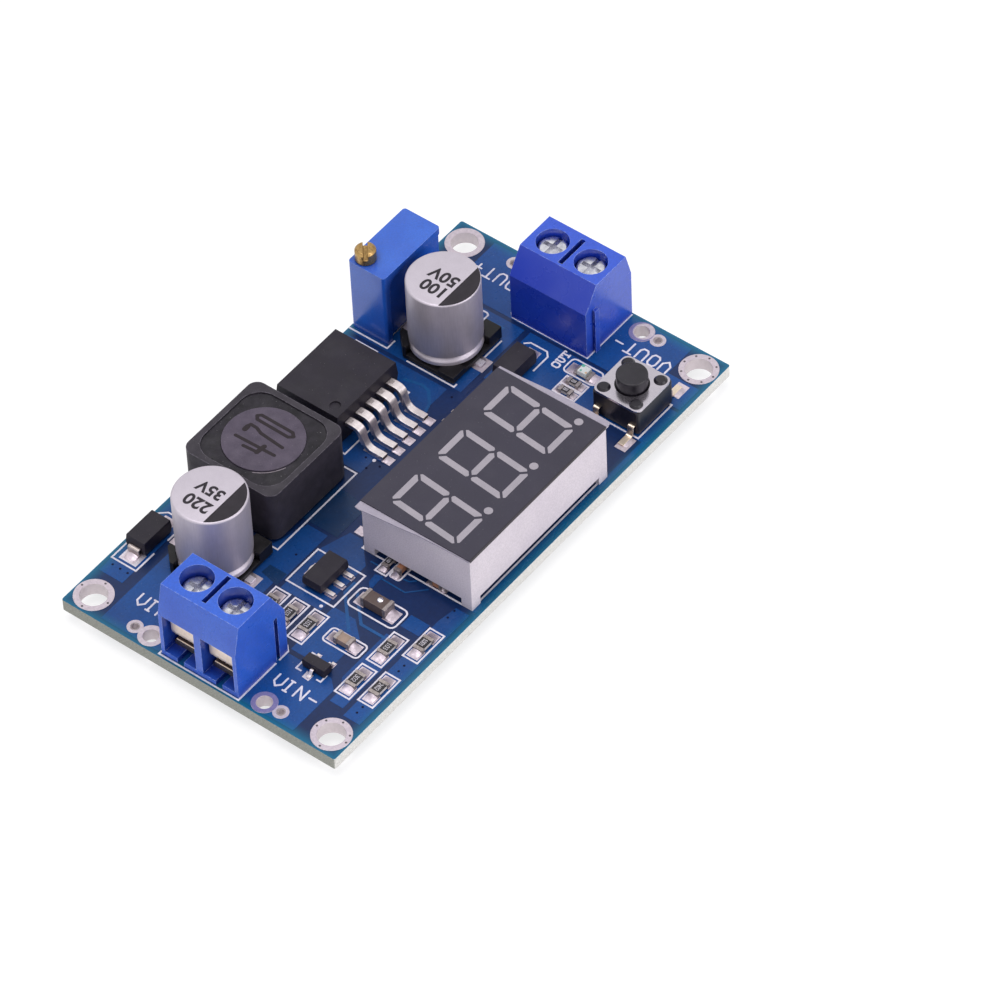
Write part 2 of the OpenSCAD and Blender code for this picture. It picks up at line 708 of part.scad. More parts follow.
// Moulded body with sides that lean in above and below the parting line
module moulded(l, w, low, parting, high) {
    function half(size) = [
        [-size / 2 + (parting - low) * mould_draft, low], [size / 2 - (parting - low) * mould_draft, low],
        [size / 2, parting], [size / 2 - (high - parting) * mould_draft, high],
        [-size / 2 + (high - parting) * mould_draft, high], [-size / 2, parting]];
    intersection() {
        across_y(w) polygon(half(l));
        rotate(90) across_y(l) polygon(half(w));
    }
}
// Lead that leaves a body at height z, bends down and ends in a foot, along +X from the origin
module gull_lead(z, out, slope, foot, t, w, r) {
    path = [[0, z], [out, z], [out + slope, t], [out + slope + foot, t]];
    across_y(w) polygon(strip(bent(path, r), -t));
}
// Copper lining of a hole through the board, with a ring on each face
module eyelet(d, ring) {
    r = d / 2;
    rotate_extrude() polygon([[r, -copper_t], [r + ring, -copper_t], [r + ring, 0], [r + lining_t, 0],
        [r + lining_t, board_t], [r + ring, board_t], [r + ring, seat_z], [r, seat_z]]);
}
module drill(d) {
    translate([0, 0, -over]) cylinder(d = d + 2 * (lining_t + fixed_gap), h = board_t + 2 * over);
}
module at_mounts() {
    for (x = [-1, 1], y = [-1, 1]) translate([x * mount_x, y * mount_y, 0]) children();
}
function pin_hole(d) = d + 2 * pin_hole_gap;
module pin(d, top) {
    translate([0, 0, pin_end_z]) cylinder(d = d, h = top - pin_end_z);
}

// Board

module circuit_board() color(mask_blue)
    difference() {
        linear_extrude(board_t) rounded([board_l, board_w], board_corner_r);
        at_mounts() drill(mount_hole_d);
        for (w = wire_holes_at) translate([w[0], w[1], 0]) drill(w[2]);
        for (p = pins_at) translate([p[0], p[1], 0]) drill(pin_hole(p[2]));
    }
module mounting_hole_rings() color(tin)
    at_mounts() eyelet(mount_hole_d, mount_ring_w);
module plated_holes() color(tin) {
    for (w = wire_holes_at) translate([w[0], w[1], 0]) eyelet(w[2], w[3]);
    for (p = pins_at) translate([p[0], p[1], 0]) eyelet(pin_hole(p[2]), pin_ring_w);
}
// Solder cone over the end of a pin, hollow where the pin is
module solder_cone(d) {
    r = d / 2 + fixed_gap;
    base_r = pin_hole(d) / 2 + pin_ring_w;
    tip_r = r + solder_tip_t;
    waist = [(base_r + tip_r) / 2 - solder_tip_t / 2, -tail_h / 2];
    rotate_extrude() polygon([[0, -tail_h], [tip_r, -tail_h], waist, [base_r, -copper_t],
        [r, -copper_t], [r, pin_end_z - fixed_gap], [0, pin_end_z - fixed_gap]]);
}
module solder_joints() color(solder_grey)
    for (p = pins_at) translate([p[0], p[1], 0]) solder_cone(p[2]);

// Screw terminals

module on_input() {
    translate([input_face_x, terminal_shift_y, board_t]) children();
}
module on_output() {
    translate([output_face_x, terminal_shift_y, board_t]) rotate(180) children();
}
module at_poles() {
    for (y = pole_offsets) translate([0, y, 0]) children();
}
// Dovetail outline that grows from its neck towards +Y
module dovetail(w, d) {
    half = [[w / 2, -d / 2], [w / 2, 0], [(w + d) / 2, d]];
    polygon(concat(half, mirrored([for (i = [2:-1:0]) half[i]], -1, 1)));
}
module terminal_housing(height) {
    side_y = terminal_w / 2;
    outline = [[0, 0], [terminal_depth, 0], [terminal_depth, terminal_back_h],
        [terminal_depth - terminal_back_slant, height], [terminal_front_slant, height],
        [0, terminal_front_h]];
    dovetail_h = terminal_back_h - free_gap;
    color(terminal_blue) difference() {
        union() {
            across_y(terminal_w) polygon(outline);
            translate([terminal_depth - dovetail_inset, side_y, 0])
                linear_extrude(dovetail_h) dovetail(dovetail_w - 2 * running_gap, dovetail_d - running_gap);
        }
        translate([terminal_depth - dovetail_inset, -side_y, -over])
            linear_extrude(dovetail_h + over) dovetail(dovetail_w, dovetail_d);
        translate([screw_inset, 0, height])
            cube([divider_slot_l, divider_slot_w, 2 * divider_slot_h], center = true);
        at_poles() {
            block([-over, -opening_w / 2, terminal_floor], [opening_depth, opening_w / 2, opening_h]);
            block([-over, -floor_slot_w / 2, -over], [floor_slot_l, floor_slot_w / 2, terminal_floor + over]);
            translate([screw_inset, 0, -over])
                cylinder(d = pin_hole(terminal_pin_d), h = terminal_floor + 2 * over);
            translate([screw_inset, 0, -over])
                cylinder(d = pin_hole(terminal_pin_d) + 2 * (pin_ring_w + free_gap),
                    h = over + ring_relief_h);
            translate([screw_inset, 0, opening_h - over]) cylinder(d = well_d, h = height);
        }
    }
}
// Folded strip under and behind the wire, with the threaded plate and the solder pin
module terminal_contact() {
    path = [[contact_front, terminal_floor], [contact_back, terminal_floor], [contact_back, nut_top],
        [contact_front, nut_top]];
    difference() {
        union() {
            across_y(contact_w) polygon(strip(bent(path, 2 * contact_t), contact_t));
            block([contact_front, -contact_w / 2, nut_top - nut_t],
                [contact_back - contact_t / 2, contact_w / 2, nut_top - contact_t / 2]);
        }
        translate([screw_inset, 0, nut_top - nut_t - over])
            cylinder(d = screw_d + 2 * running_gap, h = nut_t + 2 * over);
    }
    translate([screw_inset, 0, -board_t]) pin(terminal_pin_d, board_t + terminal_floor + contact_t / 2);
}
module terminal_contacts() color(tin) at_poles() terminal_contact();
// Leaf that hangs in front of the screw and is pressed down onto the wire
module terminal_clamp() color(tin) {
    path = [[leaf_inset, leaf_z + leaf_h], [leaf_inset, leaf_z], [leaf_end, leaf_z]];
    across_y(contact_w - 2 * free_gap) polygon(strip(bent(path, 2 * leaf_t), leaf_t));
}
module terminal_screw() color(solder_grey) {
    r = screw_head_d / 2;
    edge = screw_slot_h / 2;
    tip_z = leaf_z + leaf_t + running_gap;
    point = screw_d / 6;
    head_z = screw_top - screw_head_h;
    profile = concat([[0, tip_z], [screw_d / 2 - point, tip_z], [screw_d / 2, tip_z + point],
        [screw_d / 2, head_z], [r, head_z]],
        arc([r - edge, screw_top - edge], edge, 0, 90, 4), [[0, screw_top]]);
    translate([screw_inset, 0, 0]) difference() {
        rotate_extrude() polygon(profile);
        for (size = [[2 * screw_head_d, screw_slot_w], [screw_slot_w, screw_cross_l]])
            translate([0, 0, screw_top]) cube([size[0], size[1], 2 * screw_slot_h], center = true);
    }
}
module input_terminal_housing() on_input() terminal_housing(terminal_h);
module input_terminal_contacts() on_input() terminal_contacts();
module input_positive_clamp() on_input() translate([0, pole_pitch / 2, 0]) terminal_clamp();
module input_positive_screw() on_input() translate([0, pole_pitch / 2, 0]) terminal_screw();
module input_negative_clamp() on_input() translate([0, -pole_pitch / 2, 0]) terminal_clamp();
module input_negative_screw() on_input() translate([0, -pole_pitch / 2, 0]) terminal_screw();
module output_terminal_housing() on_output() terminal_housing(output_terminal_h);
module output_terminal_contacts() on_output() terminal_contacts();
module output_positive_clamp() on_output() translate([0, -pole_pitch / 2, 0]) terminal_clamp();
module output_positive_screw() on_output() translate([0, -pole_pitch / 2, 0]) terminal_screw();
module output_negative_clamp() on_output() translate([0, pole_pitch / 2, 0]) terminal_clamp();
module output_negative_screw() on_output() translate([0, pole_pitch / 2, 0]) terminal_screw();

// Trimmer

module at_trimmer() {
    translate([trimmer_x, trimmer_y, board_t]) children();
}
trimmer_screw_at = [-trimmer_l / 2 + trimmer_screw_end, trimmer_w / 2 - trimmer_screw_side, 0];
module trimmer_body() color(trimmer_blue)
    at_trimmer() difference() {
        linear_extrude(trimmer_h) rounded([trimmer_l, trimmer_w], trimmer_edge_r);
        block([-trimmer_l / 2 + trimmer_foot_w, -trimmer_w, -over],
            [trimmer_l / 2 - trimmer_foot_w, trimmer_w, trimmer_foot_h]);
        translate([trimmer_panel_rim, -trimmer_w / 2, -trimmer_panel_rim])
            across_y(2 * trimmer_panel_d) translate([0, trimmer_h / 2])
                rounded([trimmer_l, trimmer_h], trimmer_panel_r);
        translate(trimmer_screw_at + [0, 0, trimmer_h - trimmer_shaft_l - running_gap])
            cylinder(d = trimmer_shaft_d + 2 * running_gap, h = trimmer_h);
        for (p = trimmer_pins_at) translate([p[0] - trimmer_x, 0, 0])
            cylinder(d = trimmer_pin_d + 2 * fixed_gap, h = trimmer_foot_h + trimmer_pin_in + fixed_gap);
    }
module trimmer_screw() color(brass) {
    r = trimmer_screw_d / 2;
    edge = trimmer_slot_h / 3;
    low = running_gap;
    at_trimmer() translate(trimmer_screw_at + [0, 0, trimmer_h]) difference() {
        union() {
            rotate_extrude() polygon([[0, low], [r, low], [r, trimmer_screw_h - edge],
                [r - edge, trimmer_screw_h], [0, trimmer_screw_h]]);
            translate([0, 0, -trimmer_shaft_l]) cylinder(d = trimmer_shaft_d, h = trimmer_shaft_l + edge);
        }
        translate([0, 0, trimmer_screw_h]) rotate(trimmer_slot_turn)
            cube([2 * trimmer_screw_d, trimmer_slot_w, 2 * trimmer_slot_h], center = true);
    }
}
module trimmer_pins() color(tin)
    for (p = trimmer_pins_at) translate([p[0], p[1], 0])
        pin(p[2], board_t + trimmer_foot_h + trimmer_pin_in);

// Electrolytic capacitors

can_seat = seat_z + can_lead_t;
module at_input_can() {
    translate([input_can_x, input_can_y, can_seat]) children();
}
module at_output_can() {
    translate([output_can_x, output_can_y, can_seat]) children();
}
module capacitor_can() color(aluminium) {
    r = can_d / 2;
    z0 = can_base_t;
    z1 = z0 + can_collar_h;
    z2 = z1 + can_groove_h;
    top = can_h - copper_t - can_lead_t;
    groove = [for (i = [0:8]) [r - can_groove_d * (1 - cos(360 * i / 8)) / 2, z1 + (z2 - z1) * i / 8]];
    rotate_extrude() polygon(concat([[0, z0], [r - can_groove_d, z0], [r, z0 + can_groove_d]], groove,
        arc([r - can_top_r, top - can_top_r], can_top_r, 0, 90, 6), [[0, top]]));
}
// Base plate with two chamfered corners and a post at each corner that holds the can
module capacitor_base() color(mould_black) {
    half = can_base_l / 2;
    outline = [[-half, -half], [half, -half], [half, half - can_chamfer], [half - can_chamfer, half],
        [-half + can_chamfer, half], [-half, half - can_chamfer]];
    linear_extrude(can_base_t) polygon(outline);
    difference() {
        linear_extrude(can_base_t + can_post_h) polygon(outline);
        translate([0, 0, can_base_t]) cylinder(d = can_d + 2 * fixed_gap, h = can_h);
        for (a = [0, 90]) rotate(a)
            block([-half - over, -can_post_gap / 2, can_base_t], [half + over, can_post_gap / 2, can_h]);
        block([-half - over, -half - over, can_base_t + can_low_post_h], [0, 0, can_h]);
    }
}
module lead_pair() {
    reach = can_base_l / 2 + can_lead_out;
    for (a = [0, 180]) rotate(a)
        block([-can_lead_w / 2, -reach, -can_lead_t], [can_lead_w / 2, -can_lead_gap / 2, 0]);
}
module input_capacitor_can() at_input_can() capacitor_can();
module input_capacitor_base() at_input_can() capacitor_base();
module output_capacitor_can() at_output_can() capacitor_can();
module output_capacitor_base() at_output_can() capacitor_base();
module capacitor_leads() color(tin) {
    at_input_can() lead_pair();
    at_output_can() lead_pair();
}

// Inductor

coil_low = seat_z + coil_foot;
coil_top = board_t + coil_h;
shield_bore = coil_l - 2 * coil_wall;
drum_d = shield_bore - 2 * drum_gap;
drum_low = coil_low + fixed_gap;
module at_coil() {
    translate([coil_x, coil_y, 0]) children();
}
// Square shield with a round chamber and a stepped rim for the sealing compound
module inductor_shield() color(ferrite)
    at_coil() difference() {
        translate([0, 0, coil_low]) linear_extrude(coil_top - coil_low)
            rounded([coil_l, coil_l], coil_corner_r);
        translate([0, 0, coil_low - over]) cylinder(d = shield_bore, h = coil_h + 2 * over);
        translate([0, 0, coil_top - potting_t]) linear_extrude(coil_h)
            rounded([shield_bore, shield_bore], 2 * coil_corner_r);
    }
module inductor_core() color(ferrite)
    at_coil() translate([0, 0, drum_low]) {
        height = coil_top - drum_low;
        cylinder(d = drum_d, h = drum_disc_t);
        cylinder(d = drum_post_d, h = height);
        translate([0, 0, height - drum_disc_t]) cylinder(d = drum_d, h = drum_disc_t);
    }
// Coil of wire with the outline of its turns
module inductor_winding() color(copper) {
    low = drum_low + drum_disc_t + fixed_gap;
    high = coil_top - drum_disc_t - fixed_gap;
    wire = (high - low) / winding_turns;
    inner = drum_post_d / 2 + fixed_gap;
    outer = drum_d / 2 - wire / 2;
    at_coil() rotate_extrude() polygon(concat([[inner, low]],
        [for (i = [0:winding_turns - 1], k = [0:3])
            [outer + wire / 2 * sin(60 * k), low + wire * (i + k / 4)]],
        [[outer, high], [inner, high]]));
}
module inductor_potting() color(mould_black)
    at_coil() translate([0, 0, coil_top - potting_t]) difference() {
        side = shield_bore - 2 * fixed_gap;
        linear_extrude(potting_t - potting_drop) rounded([side, side], 2 * coil_corner_r);
        translate([0, 0, -over]) cylinder(d = drum_d + 2 * fixed_gap, h = coil_h);
    }
// Flat strips that carry the shield and the drum
module inductor_terminals() color(tin)
    at_coil() for (a = [0, 180]) rotate(a) translate([coil_l / 2, 0, seat_z])
        block([-coil_terminal_l - coil_wall, -coil_terminal_w / 2, 0], [0, coil_terminal_w / 2, coil_foot]);

// Converter

module at_converter() {
    translate([converter_x, converter_y, seat_z]) children();
}
converter_top = converter_h - copper_t;
module tab_shape(gap) {
    half_w = converter_w / 2 - converter_tab_side + gap;
    back = converter_l / 2;
    block([-half_w, back - converter_tab_in - gap, -gap],
        [half_w, back + converter_tab_out, converter_tab_t + gap]);
}
module converter_body() color(mould_black)
    at_converter() difference() {
        moulded(converter_w, converter_l, copper_t, converter_lead_z, converter_top);
        tab_shape(fixed_gap);
        translate([-converter_w / 2 + dimple_inset, -converter_l / 2 + dimple_inset,
            converter_top - dimple_h])
            cylinder(d = dimple_d, h = over);
    }
module converter_tab() color(tin) at_converter() tab_shape(0);
function lead_offsets(n, pitch) = [for (i = [0:n - 1]) (i - (n - 1) / 2) * pitch];
module converter_lead(w) {
    gull_lead(converter_lead_z + converter_lead_t / 2, converter_lead_out, converter_lead_slope,
        converter_lead_foot, converter_lead_t, w, 1.6 * converter_lead_t);
}
// Each lead is wider from the body to its bend
module converter_leads() color(tin)
    at_converter() for (x = lead_offsets(converter_leads_n, converter_pitch))
        translate([x, -converter_l / 2, 0]) rotate(-90) {
            converter_lead(converter_lead_w);
            intersection() {
                converter_lead(converter_root_w);
                block([0, -converter_root_w, 0], [converter_root_l, converter_root_w, converter_h]);
            }
        }

// Diodes

diode_mid = diode_h / 2;
module at_input_diode() {
    translate([input_diode_x, input_diode_y, seat_z]) children();
}
module at_output_diode() {
    translate([output_diode_x, output_diode_y, seat_z]) children();
}
module diode_body() color(mould_black)
    moulded(diode_l, diode_w, diode_lead_t + fixed_gap, diode_mid, diode_h - copper_t);
// Lead that comes out at mid height, goes down the end and turns in under the body
module diode_lead_pair() {
    path = [[0, diode_mid], [diode_lead_out, diode_mid], [diode_lead_out, 0],
        [diode_lead_out - diode_foot, 0]];
    for (a = [0, 180]) rotate(a) translate([diode_l / 2, 0, 0])
        across_y(diode_lead_w) polygon(strip(bent(path, 1.5 * diode_lead_t), -diode_lead_t));
}
module input_diode_body() at_input_diode() diode_body();
module output_diode_body() at_output_diode() diode_body();
module diode_leads() color(tin) {
    at_input_diode() diode_lead_pair();
    at_output_diode() diode_lead_pair();
}

// Small semiconductors

module at_regulator() {
    translate([regulator_at[0], regulator_at[1], seat_z]) children();
}
module meter_regulator_body() color(mould_black)
    at_regulator() moulded(regulator_l, regulator_w, small_lead_t + fixed_gap, regulator_h / 2, regulator_h);
module meter_regulator_leads() color(tin)
    at_regulator() {
        half = regulator_w / 2;
        side = regulator_lead_w / 2;
        end = -half - regulator_lead_out;
        for (x = [-1, 1]) translate([x * regulator_pitch, 0, 0])
            block([-side, end, 0], [side, -half + regulator_lead_in, small_lead_t]);
        block([-side, end, 0], [side, 0, small_lead_t]);
        round_y = half + regulator_tab_out - regulator_tab_w / 2;
        block([-regulator_tab_w / 2, half - regulator_tab_in, 0],
            [regulator_tab_w / 2, round_y, small_lead_t]);
        translate([0, round_y, 0]) cylinder(d = regulator_tab_w, h = small_lead_t);
    }
module at_transistor() {
    translate([transistor_at[0], transistor_at[1], seat_z]) children();
}
transistor_mid = transistor_h / 2;
module fine_lead(z, w) {
    gull_lead(z, fine_lead_t * 2, fine_lead_out - fine_lead_t * 2, fine_lead_foot, fine_lead_t, w,
        fine_lead_t);
}
module meter_transistor_body() color(mould_black)
    at_transistor() moulded(transistor_w, transistor_l, copper_t, transistor_mid, transistor_h);
module meter_transistor_leads() color(tin)
    at_transistor() {
        z = transistor_mid + fine_lead_t / 2;
        for (y = [-1, 1]) translate([transistor_w / 2, y * transistor_pitch / 2, 0])
            fine_lead(z, fine_lead_w);
        translate([-transistor_w / 2, 0, 0]) rotate(180) fine_lead(z, fine_lead_w);
    }
module at_controller() {
    translate([display_x, display_y, seat_z]) children();
}
module meter_controller_body() color(mould_black)
    at_controller() moulded(controller_l, controller_w, copper_t, controller_h / 2, controller_h);
module meter_controller_leads() color(tin)
    at_controller() for (a = [0, 180], x = lead_offsets(controller_leads_n, controller_pitch))
        rotate(a) translate([x, controller_w / 2, 0]) rotate(90)
            fine_lead(controller_h / 2 + fine_lead_t / 2, controller_lead_w);

// Chip parts: a body between two metal ends that wrap round it

// Every chip as [x, y, turn, length, width, height, pad length beyond the end]
chip_resistors = concat(
    [for (c = resistors) [c[0], c[1], 0, chip_l, chip_w, resistor_h, pad_out]],
    [for (c = small_resistors) [c[0], c[1], c[2], small_chip_l, small_chip_w, resistor_h, small_pad_out]]);
chip_ceramics = concat(
    [for (c = ceramics) [c[0], c[1], c[2], chip_l, chip_w, ceramic_h, pad_out]],
    [for (c = small_ceramics) [c[0], c[1], c[2], small_chip_l, small_chip_w, ceramic_h, small_pad_out]],
    [concat(tall_ceramic_at, [tall_chip_l, tall_chip_w, tall_ceramic_h, pad_out])]);
chip_lamp = [lamp_at[0], lamp_at[1], 90, chip_l, chip_w, lamp_base_h, pad_out];
module at_chip(c) {
    translate([c[0], c[1], seat_z]) rotate(c[2]) children();
}
module chip_body(c) {
    t = end_cap_t + fixed_gap;
    at_chip(c) block([-c[3] / 2 + t, -c[4] / 2 + t, t], [c[3] / 2 - t, c[4] / 2 - t, c[5] - t]);
}
module chip_ends(c) {
    at_chip(c) difference() {
        for (x = [-1, 1]) translate([x * (c[3] - end_cap_l) / 2, 0, c[5] / 2])
            cube([end_cap_l, c[4], c[5]], center = true);
        translate([0, 0, c[5] / 2])
            cube([c[3] - 2 * end_cap_t, c[4] - 2 * end_cap_t, c[5] - 2 * end_cap_t], center = true);
    }
}
module resistor_bodies() color(ceramic_white) for (c = chip_resistors) chip_body(c);
module resistor_coats() color(mould_black)
    for (c = chip_resistors) at_chip(c) {
        half_l = c[3] / 2 - end_cap_l - fixed_gap;
        half_w = c[4] / 2 - end_cap_t - fixed_gap;
        low = c[5] - end_cap_t - fixed_gap;
        block([-half_l, -half_w, low], [half_l, half_w, low + coat_t]);
    }
module ceramic_capacitor_bodies() color(ceramic_tan) for (c = chip_ceramics) chip_body(c);
module chip_end_caps() color(tin)
    for (c = concat(chip_resistors, chip_ceramics, [chip_lamp])) chip_ends(c);
module indicator_lamp_base() color(ceramic_white) chip_body(chip_lamp);
module indicator_lamp_lens() color(lens_white)
    at_chip(chip_lamp) {
        low = lamp_base_h - end_cap_t - fixed_gap;
        clear_l = chip_l - 2 * end_cap_l - 2 * fixed_gap;
        moulded(clear_l, chip_w - 2 * end_cap_t, low, low + end_cap_t, low + lens_h);
    }

// Push switch

module at_switch() {
    translate([switch_x, switch_y, board_t]) children();
}
cover_low = switch_h - switch_cover_t;
rivet_at = switch_l / 2 - rivet_inset;
flange_r = plunger_d / 2 + plunger_flange_w;
flange_low = cover_low - running_gap - plunger_flange_t;
switch_lift = copper_t + switch_lead_t;
module switch_base() color(mould_black)
    at_switch() {
        difference() {
            translate([0, 0, switch_lift]) linear_extrude(cover_low - switch_lift)
                rounded([switch_l, switch_l], switch_cover_r / 2);
            translate([0, 0, switch_floor]) cylinder(r = flange_r + free_gap, h = switch_h);
        }
        for (x = [-1, 1], y = [-1, 1]) translate([x * rivet_at, y * rivet_at, 0]) {
            translate([0, 0, cover_low - over])
                cylinder(d = rivet_neck_d, h = over + switch_cover_t + rivet_h / 2);
            translate([0, 0, switch_h]) rotate_extrude()
                polygon([[0, 0], [rivet_d / 2, 0], [rivet_d / 3, rivet_h], [0, rivet_h]]);
        }
    }
module switch_cover() color(tin)
    at_switch() difference() {
        translate([0, 0, cover_low]) linear_extrude(switch_cover_t)
            rounded([switch_l, switch_l], switch_cover_r);
        translate([0, 0, cover_low - over]) cylinder(d = plunger_d + 2 * free_gap, h = 2 * over);
        for (x = [-1, 1], y = [-1, 1]) translate([x * rivet_at, y * rivet_at, cover_low - over])
            cylinder(d = rivet_neck_d + 2 * fixed_gap, h = 2 * over);
    }
dome_rise = flange_low - plunger_travel - switch_floor;
module switch_plunger() color(mould_black)
    at_switch() rotate_extrude() {
        r = plunger_d / 2;
        top = switch_h + plunger_h;
        stem_low = switch_floor + dome_rise + running_gap;
        polygon([[0, stem_low], [r / 2, stem_low], [r / 2, flange_low], [flange_r, flange_low],
            [flange_r, flange_low + plunger_flange_t], [r, flange_low + plunger_flange_t],
            [r, top - plunger_bevel], [r - plunger_bevel, top], [0, top]]);
    }
// Domed spring disc under the plunger
module switch_dome() color(tin) {
    half = flange_r - free_gap;
    crown = dome_rise - dome_t;
    radius = (half * half + crown * crown) / (2 * crown);
    sweep = asin(half / radius);
    centre = [0, switch_floor + fixed_gap + crown - radius];
    at_switch() rotate_extrude()
        polygon(concat(arc(centre, radius + dome_t, 90 - sweep, 90, 6),
            arc(centre, radius, 90, 90 - sweep, 6)));
}
switch_foot_l = switch_lead_out + switch_lead_foot / 2 - 2.5 * switch_lead_t;
module switch_terminals() color(tin)
    at_switch() for (a = [0, 180], y = [-1, 1]) rotate(a)
        translate([switch_l / 2, y * switch_pitch / 2, copper_t])
            gull_lead(switch_lead_z, 2 * switch_lead_t, switch_lead_t / 2, switch_foot_l, switch_lead_t,
                switch_lead_w, 1.4 * switch_lead_t);

// Display

module at_display() {
    translate([display_x, display_y, board_t]) children();
}
shell_top = display_h - face_t;
compound_low = display_foot_h + display_recess;
// Shell that stands on four corner feet and is open below, with a thin lip at its output end
module display_housing() color(shell_white)
    at_display() difference() {
        half_l = display_l / 2;
        half_w = display_w / 2;
        union() {
            block([-half_l, -half_w, 0], [half_l, half_w, shell_top]);
            translate([0, 0, shell_top - display_lip_t]) linear_extrude(display_lip_t)
                polygon([[0, -half_w], [half_l + display_lip_w, -half_w],
                    [half_l + display_lip_narrow_w, half_w], [0, half_w]]);
        }
        block([-half_l + display_wall, -half_w + display_wall, -over],
            [half_l - display_wall, half_w - display_wall, shell_top - display_roof]);
        for (cut = [[half_l - display_foot_l, half_w + over], [half_l + over, half_w - display_foot_l]])
            block([-cut[0], -cut[1], -over], [cut[0], cut[1], display_foot_h]);
    }
// Points of a digit lean sideways with their height
function leaned(points) = [for (p = points) [p[0] + p[1] * tan(digit_slant), p[1]]];
row_y = (digit_h - segment_w) / 2;
column_x = (digit_w - segment_w) / 2;
half_bar = segment_w / 2;
tip = segment_w / 4;
mitre = segment_gap / sqrt(2);
// Bars and posts have their ends mitred against each other, with the outer tips blunted
function mirrored(points, x, y) = [for (p = points) [p[0] * x, p[1] * y]];
bar_end = [[column_x - half_bar - mitre, row_y - half_bar], [column_x + tip - mitre, row_y + tip],
    [column_x + 2 * tip - mitre - half_bar, row_y + half_bar]];
middle_end = [[column_x - half_bar - mitre, -half_bar], [column_x - mitre, 0],
    [column_x - half_bar - mitre, half_bar]];
function both_ends(end) = concat(end, mirrored([for (i = [len(end) - 1:-1:0]) end[i]], -1, 1));
post = [[column_x - half_bar, half_bar + mitre], [column_x, mitre], [column_x + tip, mitre],
    [column_x + half_bar, mitre + tip], [column_x + half_bar, row_y + 2 * tip - mitre - half_bar],
    [column_x + tip, row_y + tip - mitre], [column_x - half_bar, row_y - half_bar - mitre]];
// The seven segments of one digit
segments = concat([both_ends(middle_end)], [for (y = [-1, 1]) mirrored(both_ends(bar_end), 1, y)],
    [for (x = [-1, 1], y = [-1, 1]) mirrored(post, x, y)]);
module segment_shapes(grow) {
    for (n = [-1:1]) translate([n * digit_pitch + digit_shift, 0]) {
        for (s = segments) polygon(leaned(grown(s, grow)));
        translate([digit_w / 2 + point_gap, -digit_h / 2 + point_rise])
            circle(d = point_d + 2 * grow);
    }
}
// Outline moved outwards from its own middle
function middle(points) = [for (p = points) 1] * points / len(points);
function grown(points, grow) = let (c = middle(points)) [for (p = points) p + (p - c) / norm(p - c) * grow];
module display_face() color(face_grey)
    at_display() translate([0, 0, shell_top]) linear_extrude(face_t) difference() {
        square([display_l, display_w], center = true);
        segment_shapes(fixed_gap);
    }
module display_segments() color(segment_grey)
    at_display() translate([0, 0, shell_top]) linear_extrude(face_t) segment_shapes(0);
module display_potting() color(compound)
    at_display() difference() {
        half_l = display_l / 2 - display_wall - fixed_gap;
        half_w = display_w / 2 - display_wall - fixed_gap;
        block([-half_l, -half_w, compound_low],
            [half_l, half_w, shell_top - display_roof - fixed_gap]);
        for (p = display_pins_at) translate([p[0] - display_x, p[1] - display_y, 0])
            cylinder(d = display_pin_d + 2 * fixed_gap, h = compound_low + display_pin_in + fixed_gap);
    }
module display_pins() color(tin)
    for (p = display_pins_at) translate([p[0], p[1], 0])
        pin(p[2], board_t + compound_low + display_pin_in);

// Solder pads under everything that is soldered flat

